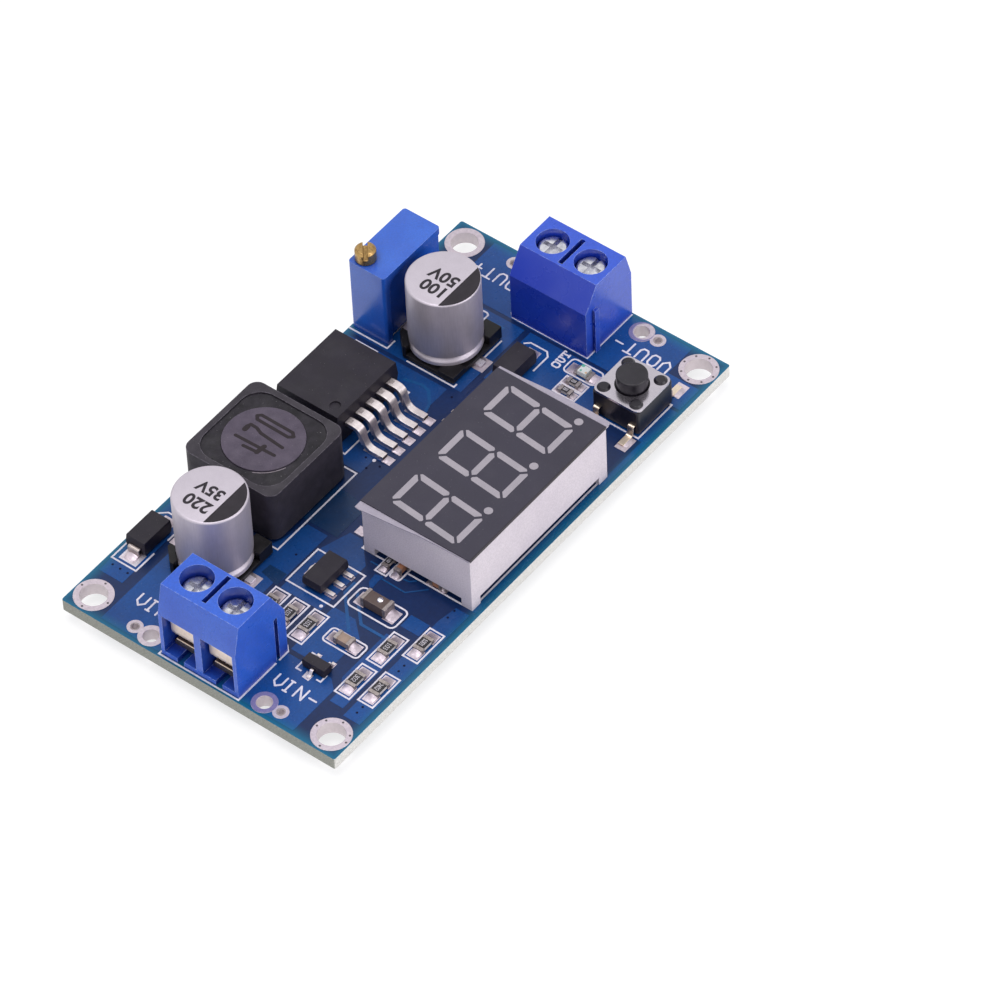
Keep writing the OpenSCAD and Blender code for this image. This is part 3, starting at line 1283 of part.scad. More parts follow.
module pad(x0, x1, w) {
    translate([0, 0, board_t]) block([x0, -w / 2, 0], [x1, w / 2, copper_t]);
}
module pad_pair(x0, x1, w) {
    for (a = [0, 180]) rotate(a) pad(x0, x1, w);
}
module surface_pads() color(tin) {
    for (c = concat(chip_resistors, chip_ceramics, [chip_lamp])) translate([c[0], c[1], 0]) rotate(c[2])
        pad_pair(c[3] / 2 - end_cap_l, c[3] / 2 + c[6], c[4] + 2 * pad_side);
    for (at = [[input_can_x, input_can_y], [output_can_x, output_can_y]]) translate(at) rotate(90)
        pad_pair(can_lead_gap / 2, can_base_l / 2 + can_lead_out + can_pad_out, can_lead_w + 2 * can_pad_out);
    translate([coil_x, coil_y, 0])
        pad_pair(coil_l / 2 - coil_terminal_l - coil_wall, coil_l / 2 + coil_foot,
            coil_terminal_w + 2 * pad_side);
    for (at = [[input_diode_x, input_diode_y], [output_diode_x, output_diode_y]]) translate(at)
        pad_pair(diode_l / 2 + diode_lead_out - diode_foot, diode_l / 2 + diode_lead_out + pad_out,
            diode_lead_w + 2 * pad_side);
    converter_foot_y = converter_front_y - converter_lead_out - converter_lead_slope;
    for (x = lead_offsets(converter_leads_n, converter_pitch))
        translate([converter_x + x, converter_foot_y, 0]) rotate(-90)
            pad(-converter_lead_t, converter_lead_foot + pad_out, converter_pad_w);
    translate([converter_x, converter_back_y, 0]) rotate(90)
        pad(-converter_tab_in, converter_tab_out + converter_edge / 2, converter_w + 2 * pad_side);
    translate(regulator_at) {
        half = regulator_w / 2;
        for (x = [-1:1]) translate([x * regulator_pitch, 0, 0]) rotate(-90)
            pad(half, half + regulator_lead_out + pad_side, regulator_lead_w + 2 * pad_side);
        rotate(90)
            pad(half - regulator_tab_in, half + regulator_tab_out + pad_side, regulator_tab_w + 2 * pad_side);
    }
    foot_reach = fine_lead_out + fine_lead_foot;
    translate(transistor_at) {
        for (y = [-1, 1]) translate([transistor_w / 2, y * transistor_pitch / 2, 0])
            pad(fine_lead_out / 2, foot_reach + pad_side, fine_lead_w + 2 * pad_side);
        rotate(180) translate([transistor_w / 2, 0, 0])
            pad(fine_lead_out / 2, foot_reach + pad_side, fine_lead_w + 2 * pad_side);
    }
    translate([display_x, display_y, 0])
        for (a = [0, 180], x = lead_offsets(controller_leads_n, controller_pitch))
            rotate(a) translate([x, controller_w / 2, 0]) rotate(90)
                pad(fine_lead_out / 2, foot_reach + pad_side, controller_lead_w + pad_side);
    translate([switch_x, switch_y + switch_pad_shift, 0]) for (a = [0, 180], y = [-1, 1]) rotate(a)
        translate([switch_l / 2, y * switch_pitch / 2, 0])
            pad(switch_lead_out - switch_lead_foot, switch_lead_out + switch_lead_foot, switch_pad_w);
    translate(test_pad_at) pad(-test_pad_l / 2, test_pad_l / 2, test_pad_l);
}

circuit_board();
mounting_hole_rings();
plated_holes();
surface_pads();
solder_joints();
input_terminal_housing();
input_terminal_contacts();
input_positive_clamp();
input_positive_screw();
input_negative_clamp();
input_negative_screw();
output_terminal_housing();
output_terminal_contacts();
output_positive_clamp();
output_positive_screw();
output_negative_clamp();
output_negative_screw();
trimmer_body();
trimmer_screw();
trimmer_pins();
input_capacitor_can();
input_capacitor_base();
output_capacitor_can();
output_capacitor_base();
capacitor_leads();
inductor_shield();
inductor_core();
inductor_winding();
inductor_potting();
inductor_terminals();
converter_body();
converter_leads();
converter_tab();
input_diode_body();
output_diode_body();
diode_leads();
meter_regulator_body();
meter_regulator_leads();
meter_transistor_body();
meter_transistor_leads();
meter_controller_body();
meter_controller_leads();
resistor_bodies();
resistor_coats();
ceramic_capacitor_bodies();
chip_end_caps();
indicator_lamp_base();
indicator_lamp_lens();
switch_base();
switch_cover();
switch_plunger();
switch_dome();
switch_terminals();
display_housing();
display_face();
display_segments();
display_potting();
display_pins();
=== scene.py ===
# %% [markdown]
# # A boost converter module in Blender
# The module is a blue circuit board that lifts a voltage. It carries two screw terminals, a trimmer,
# two can capacitors, an inductor, a five-lead converter, a push switch and a three-digit meter.
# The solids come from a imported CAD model. This lesson gives them their edges, finishes, print, solder
# and copper, and never moves them. All sizes below are millimetres until they become vertices.

# %% Load the solids
import json
import math

import bmesh
import bpy
from mathutils import Matrix, Vector


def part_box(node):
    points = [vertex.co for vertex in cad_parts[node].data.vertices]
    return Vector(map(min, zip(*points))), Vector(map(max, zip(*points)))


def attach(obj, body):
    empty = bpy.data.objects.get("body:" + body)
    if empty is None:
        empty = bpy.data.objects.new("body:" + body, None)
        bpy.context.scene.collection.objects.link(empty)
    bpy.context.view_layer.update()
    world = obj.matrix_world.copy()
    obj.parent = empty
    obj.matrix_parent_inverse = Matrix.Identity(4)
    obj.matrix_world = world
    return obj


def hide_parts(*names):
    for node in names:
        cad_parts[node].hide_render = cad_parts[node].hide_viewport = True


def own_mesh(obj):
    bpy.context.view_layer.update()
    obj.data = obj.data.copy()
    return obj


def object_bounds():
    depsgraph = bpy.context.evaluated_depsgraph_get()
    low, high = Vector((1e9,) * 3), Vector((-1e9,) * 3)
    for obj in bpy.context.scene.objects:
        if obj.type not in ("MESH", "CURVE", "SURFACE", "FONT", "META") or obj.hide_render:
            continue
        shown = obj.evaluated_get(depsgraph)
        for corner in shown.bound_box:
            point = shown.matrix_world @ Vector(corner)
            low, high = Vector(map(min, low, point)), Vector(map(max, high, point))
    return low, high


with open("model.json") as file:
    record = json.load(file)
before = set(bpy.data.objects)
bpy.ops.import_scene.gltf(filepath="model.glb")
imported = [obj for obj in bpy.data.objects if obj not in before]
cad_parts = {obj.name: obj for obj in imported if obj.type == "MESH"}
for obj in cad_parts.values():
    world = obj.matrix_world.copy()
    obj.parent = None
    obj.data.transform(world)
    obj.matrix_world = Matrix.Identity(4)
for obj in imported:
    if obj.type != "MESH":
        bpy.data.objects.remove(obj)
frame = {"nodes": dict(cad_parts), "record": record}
cad_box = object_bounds()

MM = 0.001
SLOT_OF = {part["node"]: part["material_slot"] for part in frame["record"]["subparts"]}
BODY_OF = {node: body for body, nodes in frame["record"]["behaviour"]["bodies"].items() for node in nodes}


def box_mm(node):
    """Lowest and highest corner of a CAD node, in millimetres."""
    low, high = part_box(node)
    return low / MM, high / MM


board_low, board_high = box_mm("circuit_board")
BOARD_TOP = board_high.z
print("board", [round(v, 2) for v in board_low], [round(v, 2) for v in board_high])

# %% [markdown]
# ## The camera
# A product picture of a small board is taken from far away with a long lens, so that parallel edges
# stay almost parallel. The camera is placed by what a photographer would set: the point it looks at,
# its bearing and height, its distance and a small roll.

# %% Place the camera
AIM_AT = Vector((3.98, -9.91, BOARD_TOP))
BEARING, HEIGHT, ROLL = math.radians(-50.11), math.radians(48.37), math.radians(-2.77)
DISTANCE = 692.3
LENS = 243.0
FAR_CLIP = 50


def new_object(name, data):
    """An object in the scene that shows some data."""
    made = bpy.data.objects.new(name, data)
    bpy.context.scene.collection.objects.link(made)
    return made


def turned_to(direction):
    """The turn that points a camera or a lamp along a direction."""
    return direction.to_track_quat("-Z", "Y").to_matrix().to_4x4()


camera = new_object("camera", bpy.data.cameras.new("camera"))
camera.data.lens, camera.data.clip_end = LENS, FAR_CLIP
bpy.context.scene.camera = camera
towards = Vector((math.sin(BEARING) * math.cos(HEIGHT), -math.cos(BEARING) * math.cos(HEIGHT), math.sin(HEIGHT)))
stand = AIM_AT + towards * DISTANCE
camera.matrix_world = Matrix.Translation(stand * MM) @ (turned_to(-towards) @ Matrix.Rotation(ROLL, 4, "Z"))
print("camera at", [round(v, 1) for v in stand])

# %% [markdown]
# ## Shader nodes in few words
# A finish is a tree of nodes, and every node is made, set and linked in the same way. The helpers say
# that once, so that each finish below reads like a short recipe. An input takes either a fixed value or
# another node's output. Noise is measured in millimetres on the piece itself.

# %% Helpers for shader nodes
def srgb(red, green, blue):
    """A colour read from a screen, 0 to 255, as the linear colour that shaders use."""
    return tuple(((v / 255 + 0.055) / 1.055) ** 2.4 if v > 10 else v / 3295 for v in (red, green, blue)) + (1,)


def plug(tree, socket, source):
    """Link a socket to another node's output, or set the socket's own value."""
    if hasattr(source, "is_output"):
        tree.links.new(source, socket)
    else:
        socket.default_value = source


def add(tree, kind, plugs=(), **settings):
    """A node with its settings, and its inputs as (label, source) pairs."""
    node = tree.nodes.new(kind)
    for key, value in settings.items():
        setattr(node, key, value)
    for label, source in plugs:
        plug(tree, node.inputs[label], source)
    return node


def math_node(tree, operation, first, second=0.0, clamp=False):
    """One sum, such as ADD or MULTIPLY."""
    return add(tree, "ShaderNodeMath", [(0, first), (1, second)], operation=operation, use_clamp=clamp).outputs[0]


def blend_colours(tree, amount, first, second, how="MIX"):
    """The first colour where the amount is 0, the second where it is 1."""
    plugs = [(0, amount), (6, first), (7, second)]
    return add(tree, "ShaderNodeMix", plugs, data_type="RGBA", blend_type=how).outputs[2]


def ramp(tree, value, low, high, start=0.0, end=1.0):
    """The value, stretched so that low becomes start and high becomes end."""
    return add(tree, "ShaderNodeMapRange", [("Value", value), ("From Min", low), ("From Max", high),
                                            ("To Min", start), ("To Max", end)]).outputs[0]


def noise(tree, size_mm, detail=3.0, stretch=None):
    """Noise whose spots are about size_mm across, on the piece's own coordinates."""
    place = add(tree, "ShaderNodeTexCoord").outputs["Object"]
    if stretch is not None:
        place = add(tree, "ShaderNodeVectorMath", [(0, place), (1, stretch)], operation="MULTIPLY").outputs[0]
    scale = math_node(tree, "DIVIDE", 1 / MM, size_mm)
    return add(tree, "ShaderNodeTexNoise", [("Vector", place), ("Scale", scale), ("Detail", detail)]).outputs[0]


def place_on(tree, axis):
    """Where a point lies along one of the piece's own axes, in metres."""
    place = add(tree, "ShaderNodeTexCoord").outputs["Object"]
    return add(tree, "ShaderNodeSeparateXYZ", [(0, place)]).outputs[axis]


def facing(tree, axis, normal="True Normal"):
    """How far a face looks along an axis, -1 to 1."""
    return add(tree, "ShaderNodeSeparateXYZ", [(0, add(tree, "ShaderNodeNewGeometry").outputs[normal])]).outputs[axis]


print("a middle grey of 128 is", round(srgb(128, 128, 128)[0], 3), "to a shader")

# %% [markdown]
# ## Floor, sky and lamps
# The surround is white. A white floor could be made by pouring light on it, but then the object
# would burn out too. Here the floor answers the camera and mirror-like rays with a pale glow plus its
# own lit surface, so it reads as white where light falls and still darkens under the board.

# %% Lay the floor
FLOOR_SIZE = 6.0
GLOW, LIT, BOUNCE = 0.74, 0.34, 0.92


def seen_directly(tree):
    """1 for camera, mirror and glass rays, 0 for rays that carry soft light."""
    path = add(tree, "ShaderNodeLightPath").outputs
    value = path["Is Camera Ray"]
    for other in ("Is Glossy Ray", "Is Transmission Ray"):
        value = math_node(tree, "MAXIMUM", value, path[other])
    return value


def floor_finish():
    """Glow and lit surface for rays that see the floor, a plain white for the light it sends back."""
    material = bpy.data.materials.new("white_floor")
    material.use_nodes = True
    tree = material.node_tree
    tree.nodes.clear()
    soft, lit = (add(tree, "ShaderNodeBsdfDiffuse", [("Color", (v, v, v, 1))]).outputs[0] for v in (BOUNCE, LIT))
    glow = add(tree, "ShaderNodeEmission", [("Strength", GLOW)]).outputs[0]
    both = add(tree, "ShaderNodeAddShader", [(0, glow), (1, lit)]).outputs[0]
    choice = add(tree, "ShaderNodeMixShader", [(0, seen_directly(tree)), (1, soft), (2, both)]).outputs[0]
    add(tree, "ShaderNodeOutputMaterial", [("Surface", choice)])
    return material


floor_z = cad_box[0][2]
half = FLOOR_SIZE / 2
corners = [(-half, -half, floor_z), (half, -half, floor_z), (half, half, floor_z), (-half, half, floor_z)]
floor = new_object("floor", bpy.data.meshes.new("floor"))
floor.data.from_pydata(corners, [], [(0, 1, 2, 3)])
floor.data.materials.append(floor_finish())
print("floor at", round(floor_z / MM, 2), "mm")

# %% [markdown]
# The sky is white to the eye, and weaker as a light. Three square lamps stand for a studio's softboxes:
# a large one overhead, one in front, and a faint one at the side that lifts the input end.

# %% Light the sky and hang the lamps
SKY_FOR_LIGHT = 0.52
LAMP_TINT = (1.0, 0.965, 1.0)
SOFTBOXES = (("overhead", (-0.05, 0.05, 0.55), 0.4, 1.5), ("front", (0.12, -0.5, 0.28), 0.35, 1.1),
             ("side", (-0.5, -0.1, 0.3), 0.3, 0.2))


def softbox(name, place, size, power):
    """A square lamp that faces the board. Place and size are in metres, power in watts."""
    lamp = new_object(name, bpy.data.lights.new(name, "AREA"))
    lamp.data.shape, lamp.data.size, lamp.data.energy, lamp.data.color = "SQUARE", size, power, LAMP_TINT
    lamp.matrix_world = Matrix.Translation(place) @ turned_to(-Vector(place))


world = bpy.data.worlds.new("white_surround")
bpy.context.scene.world = world
world.use_nodes = True
sky = world.node_tree.nodes["Background"]
sky.inputs["Color"].default_value = (1, 1, 1, 1)
level = ramp(world.node_tree, seen_directly(world.node_tree), 0.0, 1.0, SKY_FOR_LIGHT, 1.0)
plug(world.node_tree, sky.inputs["Strength"], level)
for row in SOFTBOXES:
    softbox(*row)
bpy.context.scene.view_settings.view_transform = "Standard"
print("lamps", [row[0] for row in SOFTBOXES])

# %% [markdown]
# ## Effects that several finishes share
# Moulded plastic, ferrite and metal are never one even colour. Rather than paint each material by itself, four small
# node groups make the common effects: a cast grain, drawn lines, pale edges that are partly wear and partly a painted
# highlight, and fine dust. Each material places the groups with its own values and keeps its own shader.

# %% Cast grain and drawn lines
GREY = (0.5, 0.5, 0.5, 1)
GROUPS = {}


def new_group(name, inputs, outputs):
    """An empty node group with what it is given and what it makes. Inputs are (label, kind, start value)."""
    group = GROUPS[name] = bpy.data.node_groups.new(name, "ShaderNodeTree")
    for label, kind, start in inputs:
        socket = group.interface.new_socket(label, in_out="INPUT", socket_type="NodeSocket" + kind)
        socket.default_value = start
    for label, kind in outputs:
        group.interface.new_socket(label, in_out="OUTPUT", socket_type="NodeSocket" + kind)
    return group, group.nodes.new("NodeGroupInput").outputs, group.nodes.new("NodeGroupOutput").inputs


def drifting_gloss(group, pattern, given):
    """The given roughness, a little more or less from patch to patch."""
    drift = math_node(group, "MULTIPLY", math_node(group, "SUBTRACT", pattern, 0.5), given["Roughness spread"])
    return math_node(group, "ADD", drift, given["Roughness"])


def build_cast_grain():
    """Fine grain inside larger patches, as a mould or a press leaves it."""
    group, given, made = new_group(
        "cast_grain",
        [("Colour", "Color", GREY), ("Patch colour", "Color", (0.4, 0.4, 0.4, 1)),
         ("Grain size", "Float", 0.12), ("Patch size", "Float", 3.0),
         ("Roughness", "Float", 0.5), ("Roughness spread", "Float", 0.1)],
        [("Colour", "Color"), ("Roughness", "Float"), ("Height", "Float")])
    grain = noise(group, given["Grain size"], 2.0)
    patches = ramp(group, noise(group, given["Patch size"], 4.0), 0.35, 0.65)
    colour = blend_colours(group, patches, given["Colour"], given["Patch colour"])
    shade = ramp(group, grain, 0.3, 0.7, 0.9, 1.1)
    tint = add(group, "ShaderNodeCombineColor", [(0, shade), (1, shade), (2, shade)]).outputs[0]
    plug(group, made["Colour"], blend_colours(group, 1.0, colour, tint, "MULTIPLY"))
    plug(group, made["Roughness"], drifting_gloss(group, patches, given))
    plug(group, made["Height"], grain)


def build_drawn_lines():
    """Streaks along one direction with a slow cloud over them, as rolling, drawing and dipping leave them."""
    group, given, made = new_group(
        "drawn_lines",
        [("Colour", "Color", (0.7, 0.7, 0.7, 1)), ("Line colour", "Color", GREY),
         ("Line width", "Float", 0.05), ("Stretch", "Vector", (1, 1, 0.05)),
         ("Roughness", "Float", 0.3), ("Roughness spread", "Float", 0.15)],
        [("Colour", "Color"), ("Roughness", "Float"), ("Height", "Float")])
    lines = noise(group, given["Line width"], 2.0, given["Stretch"])
    cloud = noise(group, 1.1, 3.0)
    both = math_node(group, "ADD", math_node(group, "MULTIPLY", lines, 0.6), math_node(group, "MULTIPLY", cloud, 0.4))
    mixed = ramp(group, both, 0.38, 0.62)
    plug(group, made["Colour"], blend_colours(group, mixed, given["Colour"], given["Line colour"]))
    plug(group, made["Roughness"], drifting_gloss(group, mixed, given))
    plug(group, made["Height"], lines)


build_cast_grain()
build_drawn_lines()
print("groups", sorted(GROUPS))

# %% [markdown]
# Handling rubs the corners of a moulding pale, in broken runs, and sharp corners catch the light, so the paler colour
# there is partly wear and partly a painted highlight. A bevel node finds those corners without a drawn map. Dust
# settles only on what looks up, as specks with a thin film between them.

# %% Rubbed edges and fine dust
def build_worn_and_highlit_edges():
    """A paler colour where the surface turns sharply, broken by noise: wear, and a painted highlight."""
    group, given, made = new_group(
        "rubbed_edges",
        [("Colour", "Color", GREY), ("Edge colour", "Color", (0.8, 0.8, 0.8, 1)),
         ("Width", "Float", 0.1), ("Amount", "Float", 0.5)],
        [("Colour", "Color")])
    radius = math_node(group, "MULTIPLY", given["Width"], MM)
    rounded = add(group, "ShaderNodeBevel", [("Radius", radius)], samples=4).outputs[0]
    flat = add(group, "ShaderNodeNewGeometry").outputs["True Normal"]
    turn = add(group, "ShaderNodeVectorMath", [(0, rounded), (1, flat)], operation="DOT_PRODUCT").outputs["Value"]
    edge = ramp(group, turn, 0.995, 0.85)
    broken = ramp(group, noise(group, 0.5, 3.0), 0.35, 0.6)
    amount = math_node(group, "MULTIPLY", math_node(group, "MULTIPLY", edge, broken), given["Amount"])
    plug(group, made["Colour"], blend_colours(group, amount, given["Colour"], given["Edge colour"]))


def build_fine_dust():
    """Specks and a thin film on faces that look up."""
    group, given, made = new_group(
        "fine_dust",
        [("Colour", "Color", GREY), ("Dust colour", "Color", (0.8, 0.78, 0.8, 1)), ("Amount", "Float", 0.3)],
        [("Colour", "Color")])
    up = facing(group, "Z", "Normal")
    specks = ramp(group, noise(group, 0.16, 1.0), 0.74, 0.8)
    film = ramp(group, noise(group, 2.2, 4.0), 0.45, 0.85, 0.0, 0.12)
    dust = math_node(group, "MULTIPLY", math_node(group, "ADD", specks, film), ramp(group, up, 0.2, 0.9))
    amount = math_node(group, "MULTIPLY", dust, given["Amount"], clamp=True)
    plug(group, made["Colour"], blend_colours(group, amount, given["Colour"], given["Dust colour"]))


build_worn_and_highlit_edges()
build_fine_dust()
print("groups", sorted(GROUPS))

# %% [markdown]
# ## Finishes
# Two recipes cover almost the whole board. A moulding is grained colour, paler at its edges from wear and a painted
# highlight, and dusted on top; some mouldings also carry painted shade in their hollows and on faces turned from the
# light. A metal is drawn colour with streaked gloss. Each makes a material whose shader is its own, so a reader can
# open any of them and change one value.

# %% Recipes for mouldings and metals
HOLLOW_SHADE_REACH = 3.0
FINISH = {}


def new_finish(name):
    """A material with its node tree and its shader's inputs. It is kept under its name."""
    material = FINISH[name] = bpy.data.materials.new(name)
    material.use_nodes = True
    return material.node_tree, material.node_tree.nodes["Principled BSDF"].inputs


def place_group(tree, name, **values):
    """The outputs of a shared group, placed with a material's own values."""
    plugs = [(label.replace("_", " "), value) for label, value in values.items()]
    return add(tree, "ShaderNodeGroup", plugs, node_tree=GROUPS[name]).outputs


def feed(tree, shader, colour, rough, height, depth_mm, strength=0.5):
    """Give the shader its colour, its gloss and a fine relief."""
    relief = add(tree, "ShaderNodeBump", [("Height", height), ("Strength", strength), ("Distance", depth_mm * MM)])
    for label, source in (("Base Color", colour), ("Roughness", rough), ("Normal", relief.outputs[0])):
        plug(tree, shader[label], source)


def moulding(name, colour, patch, rough, grain, depth, patches, edge=None, dust=0.0, spread=0.12, coat=0.0,
             shine=0.5, hollow=None, lee_shade=None):
    """A moulded or cast finish. edge is (colour, width, amount) for paler corners, worn and with a painted highlight,
    hollow is painted shade in deep places and lee is painted shade on faces that look away from the light. Colours are
    0 to 255."""
    tree, shader = new_finish(name)
    cast = place_group(tree, "cast_grain", Colour=srgb(*colour), Patch_colour=srgb(*patch), Grain_size=grain,
                       Patch_size=patches, Roughness=rough, Roughness_spread=spread)
    result = cast["Colour"]
    # Painted shade: deep places, found by ambient occlusion, are darkened towards the hollow colour.
    if hollow:
        open_sky = add(tree, "ShaderNodeAmbientOcclusion", [("Distance", HOLLOW_SHADE_REACH * MM)], samples=8).outputs["AO"]
        result = blend_colours(tree, ramp(tree, open_sky, 0.35, 0.85, 0.8, 0.0), result, srgb(*hollow))
    # Painted shade: faces that look towards -X are darkened towards the lee colour.
    if lee_shade:
        result = blend_colours(tree, ramp(tree, facing(tree, "X"), -0.2, -0.8), result, srgb(*lee_shade))
    if edge:
        result = place_group(tree, "rubbed_edges", Colour=result, Edge_colour=srgb(*edge[0]), Width=edge[1],
                             Amount=edge[2])["Colour"]
    if dust:
        result = place_group(tree, "fine_dust", Colour=result, Amount=dust)["Colour"]
    shader["Coat Weight"].default_value = coat
    shader["Specular IOR Level"].default_value = shine
    feed(tree, shader, result, cast["Roughness"], cast["Height"], depth)


def metal(name, colour, line, rough, width, depth=0.004, spread=0.15, stretch=(1, 1, 1), bare=1.0, wall=None):
    """A drawn, rolled or dipped metal. Its lines run along the axis where stretch is small, bare is less than 1 where a
    thin skin dulls it, and wall is painted light, a paler colour for upright faces."""
    tree, shader = new_finish(name)
    drawn = place_group(tree, "drawn_lines", Colour=srgb(*colour), Line_colour=srgb(*line), Line_width=width,
                        Stretch=stretch, Roughness=rough, Roughness_spread=spread)
    result = drawn["Colour"]
    # Painted light: upright faces are made paler towards the wall colour.
    if wall:
        upright = ramp(tree, math_node(tree, "ABSOLUTE", facing(tree, "Z")), 0.7, 0.3, 0.0, 0.8)
        result = blend_colours(tree, upright, result, srgb(*wall))
    shader["Metallic"].default_value = bare
    feed(tree, shader, result, drawn["Roughness"], drawn["Height"], depth, 0.4)


print("recipes use the groups", sorted(GROUPS))

# %% [markdown]
# The plastics differ in colour, gloss and grain. The terminals are glossy blue, with painted shade in their deep
# funnels. Black packages are fine-grained and dull, ferrite is grey and rough with pale corners, partly wear and partly
# a painted highlight. The values in each row are: colour, patch colour, roughness, grain size, grain depth and patch
# size.

# %% Mix the mouldings
DULL = 0.28
PALE_BLUE = ((176, 196, 250), 0.1, 0.95)
moulding("terminal_plastic", (47, 97, 207), (42, 88, 197), 0.3, 0.2, 0.006, 4.0, PALE_BLUE, 0.1, hollow=(24, 40, 138))
# The output terminal's own copy of the blue plastic, with painted shade on its faces that look towards -X.
moulding("output_plastic", (46, 86, 205), (42, 79, 196), 0.28, 0.2, 0.006, 4.0, PALE_BLUE, 0.1, shine=0.55,
         hollow=(24, 38, 136), lee_shade=(29, 60, 182))
moulding("trimmer_plastic", (38, 98, 205), (34, 90, 195), 0.2, 0.15, 0.005, 3.0, ((150, 182, 240), 0.08, 0.7), 0.1,
         shine=0.75, hollow=(16, 50, 130))
moulding("mould_black", (32, 28, 37), (36, 32, 42), 0.5, 0.07, 0.008, 2.0, ((78, 73, 86), 0.07, 0.4), 0.12, shine=DULL)
moulding("base_plastic", (15, 13, 16), (19, 17, 20), 0.42, 0.1, 0.006, 2.0, ((56, 53, 60), 0.06, 0.4), 0.12, shine=DULL)
moulding("switch_plastic", (25, 22, 30), (30, 27, 35), 0.34, 0.1, 0.005, 2.0, ((66, 63, 72), 0.05, 0.4), 0.12,
         shine=0.4)
moulding("ferrite_shield", (55, 51, 59), (46, 43, 50), 0.55, 0.1, 0.025, 1.6, ((128, 122, 134), 0.16, 0.75), 0.2,
         shine=DULL)
moulding("ferrite_core", (85, 77, 92), (75, 68, 82), 0.6, 0.09, 0.025, 1.4, ((112, 104, 116), 0.12, 0.5), 0.2,
         shine=DULL)
moulding("potting_black", (17, 14, 22), (34, 30, 39), 0.33, 0.35, 0.07, 1.3, dust=0.25, shine=DULL)
moulding("ceramic_white", (214, 208, 206), (198, 192, 190), 0.5, 0.08, 0.006, 0.7)
moulding("resistor_coat", (31, 28, 33), (38, 35, 40), 0.35, 0.08, 0.006, 0.6, dust=0.1, shine=0.4)
moulding("display_shell", (214, 206, 215), (207, 199, 209), 0.48, 0.15, 0.006, 5.0, ((228, 222, 230), 0.08, 0.5))
moulding("display_face", (44, 41, 56), (48, 45, 60), 0.5, 0.06, 0.004, 5.0, dust=0.08, shine=0.4)
moulding("display_segment", (163, 157, 166), (155, 150, 159), 0.42, 0.1, 0.004, 1.5)
moulding("display_compound", (226, 220, 214), (214, 208, 202), 0.6, 0.3, 0.02, 2.0)
moulding("lamp_lens", (232, 232, 230), (214, 226, 220), 0.25, 0.1, 0.004, 0.9, spread=0.1, coat=0.5)
print(len(FINISH), "mouldings")

# %% [markdown]
# Tin on rolled strip keeps the lines of rolling, tin that was melted on is cloudy, and the zinc on the
# screws is mottled. The values in each row are: colour, line colour, roughness, line width, depth of
# the relief and spread of the roughness.

# %% Mix the metals
moulded = len(FINISH)
metal("tinned_copper", (208, 197, 205), (192, 181, 190), 0.48, 0.3, 0.008)
# The paler walls of the plated holes are painted light.
metal("hole_lining", (201, 190, 198), (186, 175, 184), 0.48, 0.3, 0.008, bare=0.6, wall=(228, 219, 221))
metal("solder", (196, 185, 193), (172, 162, 170), 0.5, 0.4, 0.02)
metal("bright_solder", (242, 238, 243), (226, 221, 228), 0.2, 0.3)
metal("tinned_strip", (236, 221, 208), (222, 206, 194), 0.4, 0.06, 0.003, stretch=(0.1, 1, 0.1))
metal("contact_strip", (150, 140, 138), (118, 110, 110), 0.42, 0.06, 0.003, stretch=(0.1, 1, 0.1))
metal("zinc_screw", (226, 226, 232), (178, 178, 188), 0.26, 0.7, 0.05, 0.2)
metal("brass_screw", (184, 151, 98), (142, 113, 72), 0.38, 0.2, 0.02, 0.2)
metal("tinned_lead", (231, 222, 222), (206, 197, 197), 0.36, 0.05, stretch=(1, 0.12, 0.12))
metal("switch_lead", (232, 216, 196), (210, 194, 176), 0.34, 0.05, 0.003, stretch=(0.12, 1, 0.12))
metal("diode_lead", (196, 184, 180), (168, 158, 156), 0.38, 0.05, 0.003, stretch=(0.12, 1, 0.12))
metal("can_lead", (228, 222, 231), (208, 202, 212), 0.32, 0.2, 0.012, bare=0.5)
metal("chip_end", (168, 159, 156), (138, 130, 128), 0.48, 0.2, 0.01)
metal("can_aluminium", (196, 189, 199), (187, 180, 190), 0.45, 0.08, 0.002, 0.06, (1, 1, 0.04), 0.55)
metal("copper_wire", (200, 120, 70), (170, 96, 54), 0.3, 0.1)
metal("switch_steel", (198, 192, 201), (187, 181, 191), 0.18, 0.05, 0.002, 0.06, (1, 0.08, 1))
print(len(FINISH) - moulded, "metals")

# %% [markdown]
# Chip capacitors are fired ceramic, and each make has its own brown. They are one CAD node, so the
# material tells them apart by where they stand on the board.

# %% Colour the chip capacitors
CERAMIC_TAN = (160, 138, 122)
CERAMIC_BROWNS = ((14.9, 1.5, (84, 68, 64)), (9.3, 1.2, (176, 118, 84)))  # left of the middle, reach, colour


def ceramic_finish():
    """Tan on the left, the tall one dark brown, the small ones by the display orange."""
    tree, shader = new_finish("ceramic_brown")
    across = place_on(tree, "X")
    colour = srgb(*CERAMIC_TAN)
    for left, reach, brown in CERAMIC_BROWNS:
        away = math_node(tree, "ABSOLUTE", math_node(tree, "ADD", across, left * MM))
        colour = blend_colours(tree, math_node(tree, "LESS_THAN", away, reach * MM), colour, srgb(*brown))
    shade = blend_colours(tree, 0.3, colour, (0.1, 0.08, 0.07, 1))
    cast = place_group(tree, "cast_grain", Colour=colour, Patch_colour=shade, Grain_size=0.08, Patch_size=0.7,
                       Roughness=0.42, Roughness_spread=0.12)
    edged_colour = place_group(tree, "rubbed_edges", Colour=cast["Colour"], Edge_colour=srgb(205, 188, 170), Width=0.06,
                       Amount=0.45)
    feed(tree, shader, edged_colour["Colour"], cast["Roughness"], cast["Height"], 0.006)


ceramic_finish()
print(len(FINISH), "finishes")

# %% [markdown]
# ## The board's own finish
# Solder mask is a thin blue lacquer. Over bare laminate it looks dark and violet, over copper it looks lighter, and at
# the board's edge the pale glass cloth shows, darker on the edge at the input end. The copper areas are real raised
# layers further down, so this material only has to know top from side and how near the rim it is.

